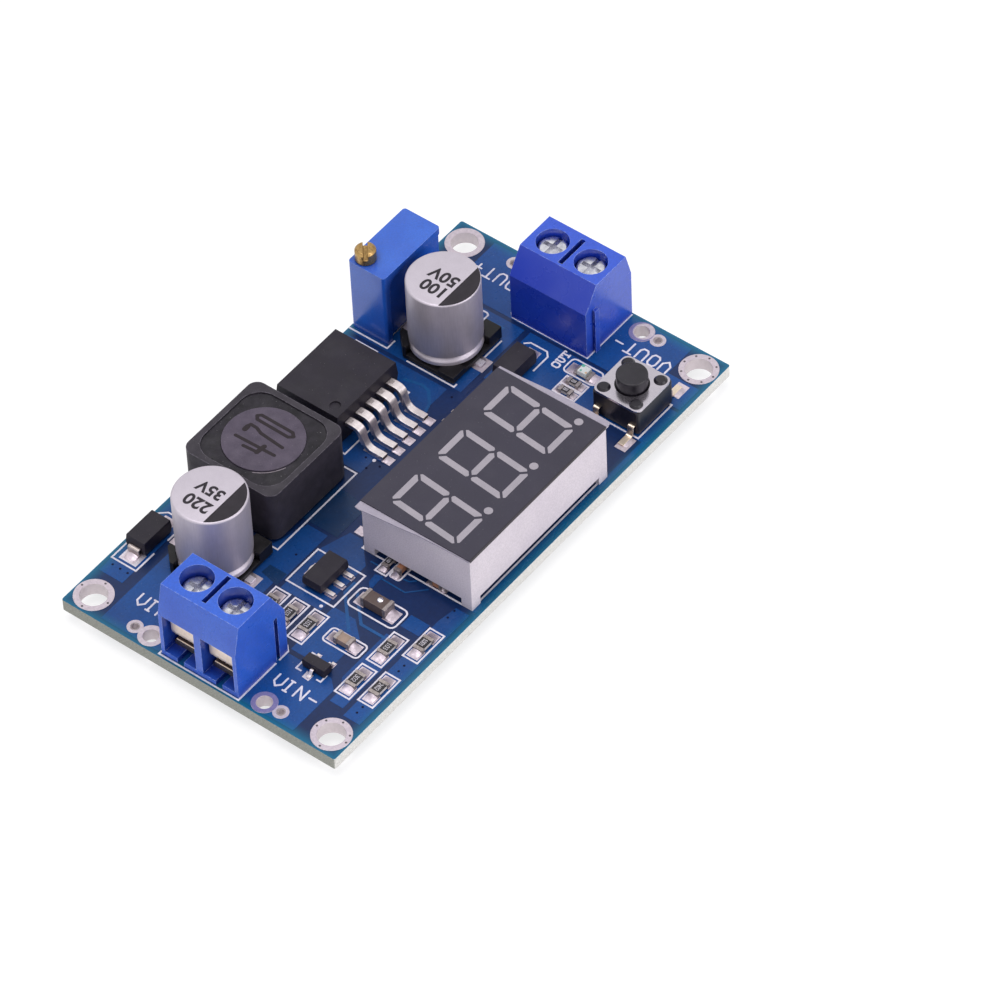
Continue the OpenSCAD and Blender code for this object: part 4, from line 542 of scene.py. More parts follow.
# %% Mask over laminate
RIM = 1.6
RIM_TEAL = srgb(16, 104, 138)
LAMINATE_BLUE, LAMINATE_DEEP = srgb(12, 41, 88), srgb(10, 35, 78)
SNAPPED_CLOTH = srgb(234, 234, 230), srgb(206, 206, 201)
INPUT_END_CLOTH = srgb(167, 170, 162), srgb(136, 137, 129)
MASK_SHINE = 0.34


def near_rim(tree):
    """0 on the board's face, 1 at its rim."""
    ways = [ramp(tree, math_node(tree, "ABSOLUTE", place_on(tree, axis)), (reach - RIM) * MM, reach * MM)
            for axis, reach in (("X", board_high.x), ("Y", board_high.y))]
    return math_node(tree, "POWER", math_node(tree, "MAXIMUM", *ways), 1.5)


def board_finish():
    """Dark mask on the faces, and glass cloth at the edges, darker on the edge that faces the input end."""
    tree, shader = new_finish("board_mask")
    mask = place_group(tree, "cast_grain", Colour=LAMINATE_BLUE, Patch_colour=LAMINATE_DEEP, Grain_size=0.35,
                       Patch_size=5.0, Roughness=0.3, Roughness_spread=0.1)
    face = blend_colours(tree, near_rim(tree), mask["Colour"], RIM_TEAL)
    cloth = noise(tree, 0.25, 3.0, (1, 1, 3))
    threads = ramp(tree, cloth, 0.35, 0.65)
    snapped, input_end = (blend_colours(tree, threads, *pair) for pair in (SNAPPED_CLOTH, INPUT_END_CLOTH))
    side = blend_colours(tree, ramp(tree, facing(tree, "X"), -0.6, -0.9), snapped, input_end)
    flat = ramp(tree, math_node(tree, "ABSOLUTE", facing(tree, "Z")), 0.6, 0.8)
    shader["Specular IOR Level"].default_value = MASK_SHINE
    feed(tree, shader, blend_colours(tree, flat, side, face), ramp(tree, flat, 0, 1, 0.75, 0.3), cloth, 0.02, 0.3)


board_finish()
print("rim of the mask", RIM, "mm wide")

# %% [markdown]
# Copper shines through the mask and lightens it. In the middle of the board, among the tall parts, painted shade makes
# the mask darker than towards the two ends. White ink is printed on top of it.

# %% Mask over copper, and white ink
# Painted shade: the mask is this much darker in the middle of the board.
MIDDLE_SHADE = 0.78
SHADE_UP_TO, SHADE_GONE_FROM = 10, 26


def mask_over_copper(name, colour, patch):
    """Mask over a copper area, with painted shade in the middle of the board that fades towards the two ends."""
    tree, shader = new_finish(name)
    ends = ramp(tree, math_node(tree, "ABSOLUTE", place_on(tree, "X")), SHADE_UP_TO * MM, SHADE_GONE_FROM * MM)
    # thin holds the colours at the two ends, where no painted shade lies.
    thin = [srgb(*colour), srgb(*patch)]
    shades = [blend_colours(tree, ends, tuple(v * MIDDLE_SHADE for v in one[:3]) + (1,), one) for one in thin]
    mask = place_group(tree, "cast_grain", Colour=shades[0], Patch_colour=shades[1], Grain_size=0.3, Patch_size=4.0,
                       Roughness=0.28, Roughness_spread=0.1)
    face = blend_colours(tree, near_rim(tree), mask["Colour"], RIM_TEAL)
    dusted = place_group(tree, "fine_dust", Colour=face, Amount=0.1)
    shader["Specular IOR Level"].default_value = MASK_SHINE
    feed(tree, shader, dusted["Colour"], mask["Roughness"], mask["Height"], 0.008, 0.3)


mask_over_copper("mask_over_copper", (17, 74, 142), (15, 66, 130))
mask_over_copper("mask_over_laminate", (9, 53, 98), (8, 47, 88))
mask_over_copper("mask_over_trace", (20, 88, 150), (18, 78, 140))
moulding("white_ink", (232, 228, 236), (214, 210, 222), 0.6, 0.1, 0.01, 0.6)
print(len(FINISH), "finishes with the board's own")

# %% [markdown]
# ## Edges on the CAD solids
# A CAD solid has edges of zero width, which never catch the light. Blender could bevel them by hand.
# Here each solid is copied, its triangles are joined into flat faces again, and a narrow bevel with
# hardened normals is laid on every crease. The copy rides on the same body and stands for the solid.

# %% Copy a solid with soft edges
WELD = 1e-7
FLAT_ANGLE = math.radians(0.6)
CREASE = 32
BEVEL_SEGMENTS = 2


def solid_copy(node):
    """The node's mesh with welded corners and its flat faces whole, as a new bmesh."""
    bm = bmesh.new()
    bm.from_mesh(frame["nodes"][node].data)
    bmesh.ops.remove_doubles(bm, verts=bm.verts, dist=WELD)
    bmesh.ops.dissolve_limit(bm, angle_limit=FLAT_ANGLE, verts=bm.verts, edges=bm.edges)
    return bm


def plain_mesh(name, bm, crease=CREASE):
    """A mesh of the bmesh's corners and faces alone, smooth across gentle turns and sharp at creases."""
    bm.verts.index_update()
    mesh = bpy.data.meshes.new(name)
    mesh.from_pydata([v.co[:] for v in bm.verts], [], [[v.index for v in f.verts] for f in bm.faces])
    bm.free()
    mesh.polygons.foreach_set("use_smooth", [True] * len(mesh.polygons))
    again = bmesh.new()
    again.from_mesh(mesh)
    for edge in again.edges:
        edge.smooth = len(edge.link_faces) == 2 and edge.calc_face_angle(0) < math.radians(crease)
    again.to_mesh(mesh)
    again.free()
    return mesh


def show(name, mesh, finish, body):
    """Put a mesh in the scene as a piece that rides on a body."""
    piece = new_object(name, mesh)
    piece.data.materials.append(FINISH[finish])
    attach(piece, body)
    return piece


def dress(node, edge, finish, crease):
    """Show a CAD node with soft edges. edge is in millimetres, crease in degrees."""
    name = node + "_dressed"
    piece = show(name, plain_mesh(name, solid_copy(node), crease), finish, BODY_OF[node])
    if edge > 0:
        bevel = piece.modifiers.new("soft_edges", "BEVEL")
        bevel.width, bevel.segments = edge * MM, BEVEL_SEGMENTS
        bevel.limit_method, bevel.angle_limit = "ANGLE", math.radians(crease)
        bevel.harden_normals = True
    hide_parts(node)
    return piece


print("creases over", CREASE, "degrees stay sharp")

# %% [markdown]
# Mouldings have the softest edges, stamped strip and plating hardly any, and turned or poured shapes are round already.
# Most solids take the finish of their slot, and a few have one of their own. The snap dome is springy steel, and its
# copy gets a mesh of its own.

# %% Dress every solid
USUAL_EDGE = 0.05
EDGES = {
    0.12: "inductor_shield",
    0.08: "input_terminal_housing output_terminal_housing trimmer_body inductor_core",
    0.06: "display_housing switch_base",
    0.04: "circuit_board",
    0.03: "switch_cover",
    0.02: "resistor_coats mounting_hole_rings plated_holes surface_pads",
    0.0: "display_face display_segments solder_joints inductor_winding switch_dome "
         "input_capacitor_can output_capacitor_can",
}
EDGE_OF = {node: width for width, nodes in EDGES.items() for node in nodes.split()}
OWN_CREASE = {"input_terminal_housing": 13, "output_terminal_housing": 13, "converter_leads": 40,
              "switch_terminals": 40}
OWN_FINISH = {"input_terminal_contacts": "contact_strip", "output_terminal_contacts": "contact_strip",
              "output_terminal_housing": "output_plastic", "mounting_hole_rings": "hole_lining",
              "plated_holes": "hole_lining", "switch_terminals": "switch_lead", "diode_leads": "diode_lead",
              "chip_end_caps": "chip_end", "capacitor_leads": "can_lead"}
for node, slot in SLOT_OF.items():
    piece = dress(node, EDGE_OF.get(node, USUAL_EDGE), OWN_FINISH.get(node, slot), OWN_CREASE.get(node, CREASE))
    if node == "switch_dome":
        low, high = box_mm(node)
        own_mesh(piece)
print("dressed", len(SLOT_OF), "solids")

# %% [markdown]
# ## Drawing on flat faces
# Print, copper and solder mask are thin layers with real edges. A picture on the face would be quick,
# but it would have no thickness and no shape of its own. Instead, lines are swept into flat bars with
# mitred corners, areas are cut as plates, and lettering is drawn with strokes like a plotter's.

# %% Plates and strokes
SUNK, DEEP_SUNK = 0.01, 0.02
LEAST_MITRE = 0.35


def wall(bm, here, there):
    """Faces between two closed loops of as many corners."""
    for i in range(len(here)):
        j = (i + 1) % len(here)
        bm.faces.new((here[i], here[j], there[j], there[i]))


def plate(bm, outline, low, high):
    """A flat plate with the given outline between two heights."""
    under, top = ([bm.verts.new((x, y, z)) for x, y in outline] for z in (low, high))
    bm.faces.new(under[::-1])
    bm.faces.new(top)
    wall(bm, under, top)


def stroke(bm, points, width, low, high, closed=False):
    """A bar of the given width along a path, with mitred corners."""
    path = [Vector(p) for p in points]
    count = len(path)
    rails = []
    for i, here in enumerate(path):
        ways = [(here - path[i - 1]).normalized()] if closed or i else []
        if closed or i + 1 < count:
            ways.append((path[(i + 1) % count] - here).normalized())
        across = [Vector((-w.y, w.x)) for w in ways]
        side = (across[0] + across[-1]).normalized()
        side *= width / 2 / max(LEAST_MITRE, side.dot(across[0]))
        shift = Vector((0, 0))
        if not closed and i in (0, count - 1):
            shift = ways[0] * width / 2 * (-1 if i == 0 else 1)
        edges = here + shift + side, here + shift - side
        rails.append([bm.verts.new((p.x, p.y, z)) for z in (low, high) for p in edges])
    for i in range(count if closed else count - 1):
        a, b = rails[i], rails[(i + 1) % count]
        for k, m in ((0, 1), (1, 3), (3, 2), (2, 0)):
            bm.faces.new((a[k], a[m], b[m], b[k]))
    if not closed:
        for end in (rails[0], rails[-1]):
            bm.faces.new((end[0], end[1], end[3], end[2]))


def layer(name, draw, finish, body="board"):
    """Show a piece that draw(bm) fills in millimetres."""
    bm = bmesh.new()
    draw(bm)
    bmesh.ops.scale(bm, vec=(MM, MM, MM), verts=bm.verts)
    bmesh.ops.recalc_face_normals(bm, faces=bm.faces)
    show(name, plain_mesh(name, bm), finish, body)


print("plates sink", SUNK, "mm into what carries them")

# %% [markdown]
# Most outlines are boxes and arcs. Many layers also follow the parts, so the separate solids of a CAD
# node, such as its single pads or leads, are found by walking along their edges.

# %% Outlines, and the separate solids of a node
def box_outline(x0, x1, y0, y1):
    """A box's corners, in the plane."""
    return [(x0, y0), (x1, y0), (x1, y1), (x0, y1)]


def round_points(x, y, radius, start=0, end=360, steps=24):
    """Points on an arc. A whole circle doesn't repeat its first point."""
    whole = abs(end - start) >= 360
    turns = [math.radians(start + (end - start) * i / (steps if whole else steps - 1)) for i in range(steps)]
    return [(x + radius * math.cos(a), y + radius * math.sin(a)) for a in turns]


def rounded_box(x0, x1, y0, y1, radius, steps=5):
    """A box with round corners."""
    corners = ((x1 - radius, y1 - radius, 0), (x0 + radius, y1 - radius, 90),
               (x0 + radius, y0 + radius, 180), (x1 - radius, y0 + radius, 270))
    return [p for x, y, a in corners for p in round_points(x, y, radius, a, a + 90, steps)]


def islands(node):
    """The separate solids of a CAD node, from left to right, as (low, high) corners in millimetres."""
    bm = bmesh.new()
    bm.from_mesh(frame["nodes"][node].data)
    bmesh.ops.remove_doubles(bm, verts=bm.verts, dist=WELD)
    left, found = set(bm.verts), []
    while left:
        group, wait = [], [left.pop()]
        while wait:
            vert = wait.pop()
            group.append(vert.co / MM)
            for edge in vert.link_edges:
                other = edge.other_vert(vert)
                if other in left:
                    left.remove(other)
                    wait.append(other)
        found.append(tuple(Vector([pick(c[k] for c in group) for k in range(3)]) for pick in (min, max)))
    bm.free()
    return sorted(found, key=lambda corners: tuple(round(v, 2) for v in corners[0]))


print("pads", len(islands("surface_pads")), "leads of the converter", len(islands("converter_leads")))

# %% [markdown]
# ## Copper under the mask
# The board's copper shows as lighter blue fields with dark lines between them. The fields are plates a
# fiftieth of a millimetre thick, so their edges catch light. At both ends they leave a clear circle
# round each wire hole, and a fine slit leads the outline there and back.

# %% Lay the copper fields
COPPER_RISE, BARE_RISE = 0.02, 0.026
END_REACH, SLIT = 32.5, 0.004
BORE_X = 31.35
BORES = ((9.4, 0.45), (7.3, 0.95), (-7.5, 0.95), (-9.6, 0.45))  # place along Y, clear radius


def end_with_bores(side):
    """The end of a copper field, counterclockwise, with the clear circle of each wire hole."""
    points = []
    start = 180 if side < 0 else 360
    for y, radius in (BORES if side < 0 else BORES[::-1]):
        points.append((side * END_REACH, y - side * SLIT))
        points += round_points(side * BORE_X, y, radius, start - 1, start - 359, 28)
        points.append((side * END_REACH, y + side * SLIT))
    return points


COPPER_FIELDS = [
    [(-32.5, -12.1), (-26.0, -12.1), (-24.9, -10.9), (-24.9, 12.95), (-32.5, 12.95)] + end_with_bores(-1),
    box_outline(-27.65, -14.9, 14.2, 17.3),
    [(-24.9, 1.8), (-17.9, 1.8), (-17.9, 1.3), (-10.3, 1.3), (-10.3, 3.9), (-15.1, 5.4), (-15.1, 12.95),
     (-24.9, 12.95)],
    [(-18.6, 0.8), (-11.9, 0.8), (-8.6, -0.3), (-8.6, -1.9), (-11.2, -4.4), (-18.6, -4.4)],
    [(-24.3, -10.0), (-19.2, -10.0), (-17.4, -8.0), (-17.4, -5.2), (-24.3, -5.2)],
    [(-27.3, -14.3), (-17.0, -14.3), (-17.0, -11.7), (-24.2, -11.7), (-25.4, -12.6), (-27.3, -12.6)],
    box_outline(-15.4, -13.6, -14.6, -12.2),
    [(-13.26, -6.50), (-12.72, -6.00), (-11.47, -5.82), (-11.28, -6.79), (-12.11, -6.70), (-13.06, -6.78)],
    [(-28.0, -17.0), (-10.2, -17.0), (-10.2, -15.3), (-12.6, -14.9), (-28.0, -14.9)],
    box_outline(-1.6, 12.9, 4.0, 17.2),
    box_outline(13.4, 24.3, 2.6, 17.2),
    [(13.3, 1.9), (16.4, 1.9), (16.4, -2.2), (18.9, -2.2), (18.9, -16.4), (24.4, -16.4), (24.4, 1.9)],
    [(24.8, -17.3), (28.3, -17.3), (28.3, -13.2), (32.5, -13.2)] + end_with_bores(1) + [(32.5, 12.9), (24.8, 12.9)],
    [(-9.6, -17.4), (24.4, -17.4), (24.4, -16.4), (18.9, -16.4), (18.9, -16.8), (-9.6, -16.8)],
]
# The bare fields are darker mask where no copper lies, and also painted shade beside the inductor.
BARE_AND_SHADE_FIELDS = [
    [(-9.9, 6.4), (-9.9, 0.4), (-5.6, 0.4), (-4.6, 2.2), (-4.2, 6.4)],
    [(-18.6, 1.3), (-16.8, 1.4), (-16.8, 3.6), (-18.1, 3.7)],
]


def fields(bm, outlines, rise):
    """Plates that stand a little above the board's face."""
    for outline in outlines:
        plate(bm, outline, BOARD_TOP - SUNK, BOARD_TOP + rise)


layer("copper_fields", lambda bm: fields(bm, COPPER_FIELDS, COPPER_RISE), "mask_over_copper")
layer("bare_fields", lambda bm: fields(bm, BARE_AND_SHADE_FIELDS, BARE_RISE), "mask_over_laminate")
print(len(COPPER_FIELDS), "copper fields", len(BARE_AND_SHADE_FIELDS), "bare fields")

# %% [markdown]
# A few traces run between the parts, broad ones for power and fine ones for signals. Through-holes are
# small dark dots under the mask, and round each mounting hole a circle of them joins both faces.

# %% Draw traces and through-holes
TRACE_RISE, DOT_RISE = 0.032, 0.008
TRACE_WIDTH, FINE_WIDTH = 0.34, 0.16
TRACES = [
    [(-13.7, -4.9), (-15.2, -4.9), (-19.0, -8.4)],
    [(-14.6, -6.0), (-17.6, -8.9), (-17.6, -12.0)],
    [(9.1, 3.85), (10.2, 4.2), (11.6, 5.4), (11.85, 6.5), (11.4, 8.4)],
    [(23.2, 4.6), (23.2, 8.0)],
]
FINE_TRACES = [
    [(-11.59, -6.89), (-11.64, -9.83), (-9.96, -11.47)],
    [(-10.32, -8.63), (-10.25, -9.25), (-9.77, -9.76)],
    [(-10.41, -4.45), (-10.39, -5.33)],
]
THROUGH_HOLES = [(-26.3, 16.6), (-26.3, 15.6), (-26.3, 14.6), (-26.9, -15.8), (-26.0, -15.8), (-20.2, -15.8),
                 (-19.3, -15.8), (-11.7, -15.4), (-10.6, -15.4), (-0.68, 3.92), (0.29, 2.93), (0.43, 4.87),
                 (-24.2, 6.2), (12.3, 2.9), (25.6, -3.0), (25.6, -3.9), (-14.2, 2.3), (-16.6, -0.6)]
DOT_R = 0.13
RING_R, RING_DOT_AT = 2.15, 1.86
RING_DOTS = {(-1, 1): (80, 180, 270, 0), (-1, -1): (90, 55, 180, 0, 270, 300),
             (1, -1): (90, 45, 0, 315, 270, 225, 180, 135)}  # the corner, and the angles of its dots


def copper_traces(bm):
    """Broad and fine traces."""
    for paths, width in ((TRACES, TRACE_WIDTH), (FINE_TRACES, FINE_WIDTH)):
        for points in paths:
            stroke(bm, points, width, BOARD_TOP - SUNK, BOARD_TOP + TRACE_RISE)


def hole_dots(bm):
    """Through-holes that show as dark dots."""
    for x, y in THROUGH_HOLES:
        plate(bm, round_points(x, y, DOT_R, steps=12), BOARD_TOP, BOARD_TOP + TRACE_RISE + DOT_RISE)


def ring_dots(bm):
    """Through-holes in the rings of the mounting holes."""
    low, high = box_mm("mounting_hole_rings")
    for (sx, sy), angles in RING_DOTS.items():
        cx = (high.x if sx > 0 else low.x) - sx * RING_R
        cy = (high.y if sy > 0 else low.y) - sy * RING_R
        for angle in angles:
            x, y = round_points(cx, cy, RING_DOT_AT, angle, angle + 1, 2)[0]
            plate(bm, round_points(x, y, DOT_R, steps=10), high.z - SUNK, high.z + DOT_RISE)


moulding("dark_hole", (12, 14, 40), (18, 18, 46), 0.6, 0.1, 0.004, 0.4, shine=0.1)
# This grey is painted shade: each through-hole in the rings is a flat disc for the shade inside the hole.
moulding("ring_hole", (92, 84, 88), (70, 62, 68), 0.5, 0.1, 0.004, 0.4)
layer("copper_traces", copper_traces, "mask_over_trace")
layer("through_hole_dots", hole_dots, "dark_hole")
layer("ring_hole_dots", ring_dots, "ring_hole")
print(len(TRACES) + len(FINE_TRACES), "traces", len(THROUGH_HOLES), "through-holes")

# %% [markdown]
# ## Lettering by strokes
# The board's lettering was drawn by a plotter: every stroke has one width, round shapes are octagons,
# and the capital I has feet. Letters are lists of strokes on a unit square, wide 1 and tall 1. Small u
# and t stand for a second style, capitals whose strokes end in short bars.

# %% A plotter alphabet
RING = [(0.22, 0), (0.78, 0), (1, 0.2), (1, 0.8), (0.78, 1), (0.22, 1), (0, 0.8), (0, 0.2), (0.22, 0)]
GLYPHS = {
    "V": [[(0, 1), (0, 0.33), (0.5, 0), (1, 0.33), (1, 1)]],
    "I": [[(0.2, 0), (0.2, 1)], [(-0.03, 0), (0.43, 0)], [(-0.03, 1), (0.43, 1)]],
    "N": [[(0, 0), (0, 1), (1, 0), (1, 1)]],
    "O": [RING], "0": [RING],
    "U": [[(0, 1), (0, 0.22), (0.25, 0), (0.75, 0), (1, 0.22), (1, 1)]],
    "T": [[(0, 1), (1, 1)], [(0.5, 1), (0.5, 0)]],
    "u": [[(0.1, 1), (0.1, 0.28), (0.32, 0), (0.68, 0), (0.9, 0.28), (0.9, 1)],
          [(-0.12, 1), (0.3, 1)], [(0.7, 1), (1.12, 1)]],
    "t": [[(-0.06, 0.78), (-0.06, 1), (1.06, 1), (1.06, 0.78)], [(0.5, 1), (0.5, 0)], [(0.22, 0), (0.78, 0)]],
    "+": [[(0.1, 0.5), (0.9, 0.5)], [(0.5, 0.15), (0.5, 0.85)]],
    "-": [[(0.05, 0.5), (0.95, 0.5)]],
    "1": [[(0.15, 0.78), (0.5, 1), (0.5, 0)], [(0.15, 0), (0.85, 0)]],
    "2": [[(0, 0.8), (0.22, 1), (0.78, 1), (1, 0.8), (1, 0.6), (0, 0), (1, 0)]],
    "3": [[(0, 1), (1, 1), (0.45, 0.58), (0.8, 0.55), (1, 0.38), (1, 0.18), (0.78, 0), (0.2, 0), (0, 0.18)]],
    "4": [[(0.72, 0), (0.72, 1)], [(0.72, 1), (0, 0.3)], [(0, 0.3), (1, 0.3)]],
}
NARROW = {"I": 0.77}
NEXT_STROKE, NEXT_PATH = 0.0006, 0.0003  # strokes that cross lie at slightly different heights
ROUND_END = 7


def pen(bm, points, width, low, high):
    """Straight strokes with round ends, one after another, as a round pen leaves them."""
    for here, there in zip(points, points[1:]):
        turn = math.degrees(math.atan2(there.y - here.y, there.x - here.x))
        ends = round_points(*here, width / 2, turn + 90, turn + 270, ROUND_END)
        ends += round_points(*there, width / 2, turn - 90, turn + 90, ROUND_END)
        plate(bm, ends, low, high)
        high += NEXT_STROKE


def lettering(bm, text, start, reading, glyph_w, glyph_h, gap, width, low, high):
    """Strokes of a text. start is the first glyph's lower corner, reading the direction of the line."""
    reading = Vector(reading).normalized()
    rising = Vector((-reading.y, reading.x))
    corner = Vector(start)
    for letter in text:
        for i, points in enumerate(GLYPHS[letter]):
            spots = [corner + reading * x * glyph_w + rising * y * glyph_h for x, y in points]
            pen(bm, spots, width, low, high + NEXT_PATH * i)
        corner += reading * (glyph_w * NARROW.get(letter, 1.0) + gap)


print("glyphs", "".join(sorted(GLYPHS)))

# %% [markdown]
# ## White print on the board
# Outlines show where each part sits. Most are given here as short paths, and the boxes round the chip resistors are
# worked out from the solids, so they follow the parts.

# %% Print the outlines
INK_LOW, INK_HIGH = BOARD_TOP + 0.005, BOARD_TOP + 0.045
LINE = 0.19
PRINT_LINES = [
    [(-32.3, 5.15), (-32.68, 5.15), (-32.68, -5.2), (-26.75, -5.2)], [(-26.1, -5.2), (-24.75, -5.2), (-24.2, -4.65)],
    [(25.45, 5.2), (25.0, 4.75), (25.0, -5.15), (26.3, -5.15)], [(27.1, -5.15), (32.7, -5.15)],
    [(-14.8, 5.2), (-14.8, 4.25), (-1.9, 4.25), (-1.9, 5.8)],
    [(-1.9, 16.2), (-1.9, 17.3), (-14.8, 17.3), (-14.8, 16.3)],
    [(13.55, 9.8), (13.55, 3.6), (13.95, 3.6)], [(18.8, 3.6), (21.6, 3.6)],
    [(22.9, 7.0), (23.75, 7.0), (23.95, 7.3), (23.95, 8.4)],
    [(13.75, 17.65), (13.75, 12.65), (15.0, 12.65)], [(15.5, 13.4), (18.0, 13.4)],
    [(-0.5, 7.3), (-0.5, 6.9), (10.2, 6.9), (10.2, 7.3)], [(12.75, 13.2), (12.75, 16.0)],
    [(-22.75, 14.1), (-25.6, 14.1), (-25.6, 17.3), (-22.7, 17.3)],
    [(-20.4, 14.1), (-18.2, 14.1), (-17.5, 14.9), (-17.5, 16.5), (-18.2, 17.3), (-18.8, 17.3)],
    [(20.3, -1.7), (22.7, -1.7), (23.25, -1.2), (23.25, 0.95), (22.8, 1.45)],
    [(-9.47, -5.3), (-9.47, -2.59), (-8.9, -2.59)], [(-9.47, -8.6), (-9.47, -16.62), (13.1, -16.62)],
    [(-25.05, -7.2), (-25.95, -7.2), (-25.95, -7.8)], [(-25.95, -9.9), (-25.95, -10.35), (-25.0, -10.35)],
    [(-23.95, -7.3), (-23.45, -7.3), (-23.45, -8.1)], [(-23.9, -10.1), (-23.45, -10.1), (-23.45, -9.5)],
    [(19.1, -11.6), (19.1, -14.6)], [(19.1, -15.7), (19.1, -16.25), (24.9, -16.25), (24.9, -15.75)],
    [(-13.95, 12.9), (-13.95, 11.9)],
]
PRINT_BOXES = [(-17.45, -12.3, -5.2, 0.95), (-11.06, -8.6, -6.9, -5.5), (19.25, 21.79, -7.75, -4.95)]
PRINT_ROUNDS = [(-21.5, -19.5, -11.4, -6.85, 0.45), (-16.3, -13.5, -11.9, -5.85, 0.6), (22.15, 24.2, -8.1, -4.0, 0.5),
                (-10.83, -8.6, -8.4, -7.1, 0.3)]
PRINT_BAR, BAR_RISE = box_outline(20.37, 20.77, -7.75, -4.95), 0.002
PRINT_DOTS, PRINT_DOT_R = ((-18.1, -4.1), (0.6, 3.9)), 0.2
CHIP_BOX_L, CHIP_BOX_W, CHIP_MIN_L = 4.45, 1.85, 1.7


def print_outlines(bm):
    """Paths, boxes, the boxes round the longer chip resistors, a bar and two dots."""
    for points in PRINT_LINES:
        stroke(bm, points, LINE, INK_LOW, INK_HIGH)
    loops = [box_outline(*box) for box in PRINT_BOXES] + [rounded_box(*box) for box in PRINT_ROUNDS]
    for low, high in islands("resistor_bodies"):
        if high.x - low.x > CHIP_MIN_L:
            mid = (low + high) / 2
            loops.append(box_outline(mid.x - CHIP_BOX_L / 2, mid.x + CHIP_BOX_L / 2,
                                     mid.y - CHIP_BOX_W / 2, mid.y + CHIP_BOX_W / 2))
    for loop in loops:
        stroke(bm, loop, LINE, INK_LOW, INK_HIGH, True)
    plate(bm, PRINT_BAR, INK_LOW, INK_HIGH + BAR_RISE)
    for x, y in PRINT_DOTS:
        plate(bm, round_points(x, y, PRINT_DOT_R, steps=14), INK_LOW, INK_HIGH)


layer("print_outlines", print_outlines, "white_ink")
print("print lines", len(PRINT_LINES) + len(PRINT_BOXES) + len(PRINT_ROUNDS))

# %% [markdown]
# The words name what is joined where: the input and output poles, read from the ends of the board, and
# the lamp that shows the output. Each word is a start, a reading direction and the plotter's strokes.

# %% Print the words
POLE_WORDS = (("VIN+", (-28.98, 11.5), (0, -1)), ("VIN-", (-29.03, -6.46), (0, -1)),
              ("VOUT+", (29.42, 5.65), (0, 1)), ("VOUT-", (29.54, -12.96), (0, 1)))
POLE_SIZE = (0.98, 1.51, 0.515, 0.21)  # glyph width and height, gap, stroke
LAMP_WORD = ("Out", (22.02, -3.49), (1, 0))
LAMP_WORD_SIZE = (0.62, 0.83, 0.255, 0.2)


def print_words(bm):
    """The names of the poles and of the lamp."""
    for word, size in [(word, POLE_SIZE) for word in POLE_WORDS] + [(LAMP_WORD, LAMP_WORD_SIZE)]:
        lettering(bm, *word, *size, INK_LOW, INK_HIGH)


layer("print_words", print_words, "white_ink")
print("words", [word[0] for word in POLE_WORDS])

# %% [markdown]
# ## Print on the parts
# The capacitors carry their value and a black half-moon that marks the negative side. The figures on
# such cans are printed from a heavy plain face, so Blender's own font, thickened a little, serves here.
# Only plain values are printed.

# %% Values on the cans
INK_RISE = 0.012
CAPITAL_SHARE, LETTER_SPACE, BOLD = 0.73, 1.04, 0.065
ROW_START = -1.45


def font_outline(text, height):
    """A text in Blender's own font as a mesh, in millimetres, with its left end at the origin."""
    curve = bpy.data.curves.new("value", "FONT")
    curve.body, curve.size, curve.offset = text, height / CAPITAL_SHARE, BOLD
    curve.space_character = LETTER_SPACE
    curve.extrude = INK_RISE
    holder = new_object("value", curve)
    bpy.context.view_layer.update()
    mesh = bpy.data.meshes.new_from_object(holder.evaluated_get(bpy.context.evaluated_depsgraph_get()))
    bpy.data.objects.remove(holder)
    return mesh


def can_print(bm, node, rows, moon_r, chord, shift):
    """The half-moon and the value rows on a can's top. Rows are (text, height, distance from the axis along X)."""
    low, high = box_mm(node)
    mid = (low + high) / 2
    half_turn = math.degrees(math.acos(chord / moon_r))
    moon = round_points(mid.x, mid.y, moon_r, 270 - half_turn, 270 + half_turn, 28)
    plate(bm, moon, high.z - DEEP_SUNK, high.z + INK_RISE)
    for text, tall, across in rows:
        outline = font_outline(text, tall)
        start = Matrix.Translation((mid.x + across + shift[0], mid.y + ROW_START + shift[1], high.z))
        outline.transform(start @ Matrix.Rotation(math.pi / 2, 4, "Z"))
        bm.from_mesh(outline)


CANS = {"input_capacitor_can": ((("220", 1.5, -0.99), ("35V", 1.4, 1.08)), 3.8, 1.85, (0.0, 0.1)),
        "output_capacitor_can": ((("100", 1.5, -0.95), ("50V", 1.5, 0.95)), 3.9, 2.0, (-0.07, -0.29))}
moulding("can_ink", (34, 29, 36), (40, 35, 42), 0.45, 0.1, 0.004, 0.8, shine=DULL)
for node, values in CANS.items():
    layer(node + "_print", lambda bm: can_print(bm, node, *values), "can_ink")
print("printed", list(CANS))

# %% [markdown]
# The inductor's value is stamped in tall narrow figures, so each figure is a few strokes of its own
# width. The chip resistors carry a code of three or four figures, drawn with the plotter's
# alphabet and sized from each coat.

# %% Values on the inductor and the resistors
COIL_FIGURES = [
    ([(-1.3, 2.65), (-1.15, -2.35)], 0.38), ([(-1.95, 1.1), (-1.82, -0.6)], 0.38),
    ([(-1.85, -0.6), (-0.8, -0.75)], 0.55),
    ([(-0.1, 2.38), (0.35, 2.38)], 0.6), ([(0.3, 2.5), (0.78, 2.3), (0.75, 1.5), (0.42, 0.7), (0.16, -2.35)], 0.38),
    ([(2.1, 2.55), (1.7, 2.2), (1.64, -1.9), (2.0, -2.35), (2.4, -1.9), (2.42, 2.2), (2.1, 2.55)], 0.38),
]
CODES = ["302", "2402", "103", "103", "102", "103", "1001", "102", "102", "102"]
CODE_SHARE, CODE_PEN = 0.42, 0.055
CODE_STEP = {3: 0.68, 4: 0.52}
CODE_GAP = 0.3


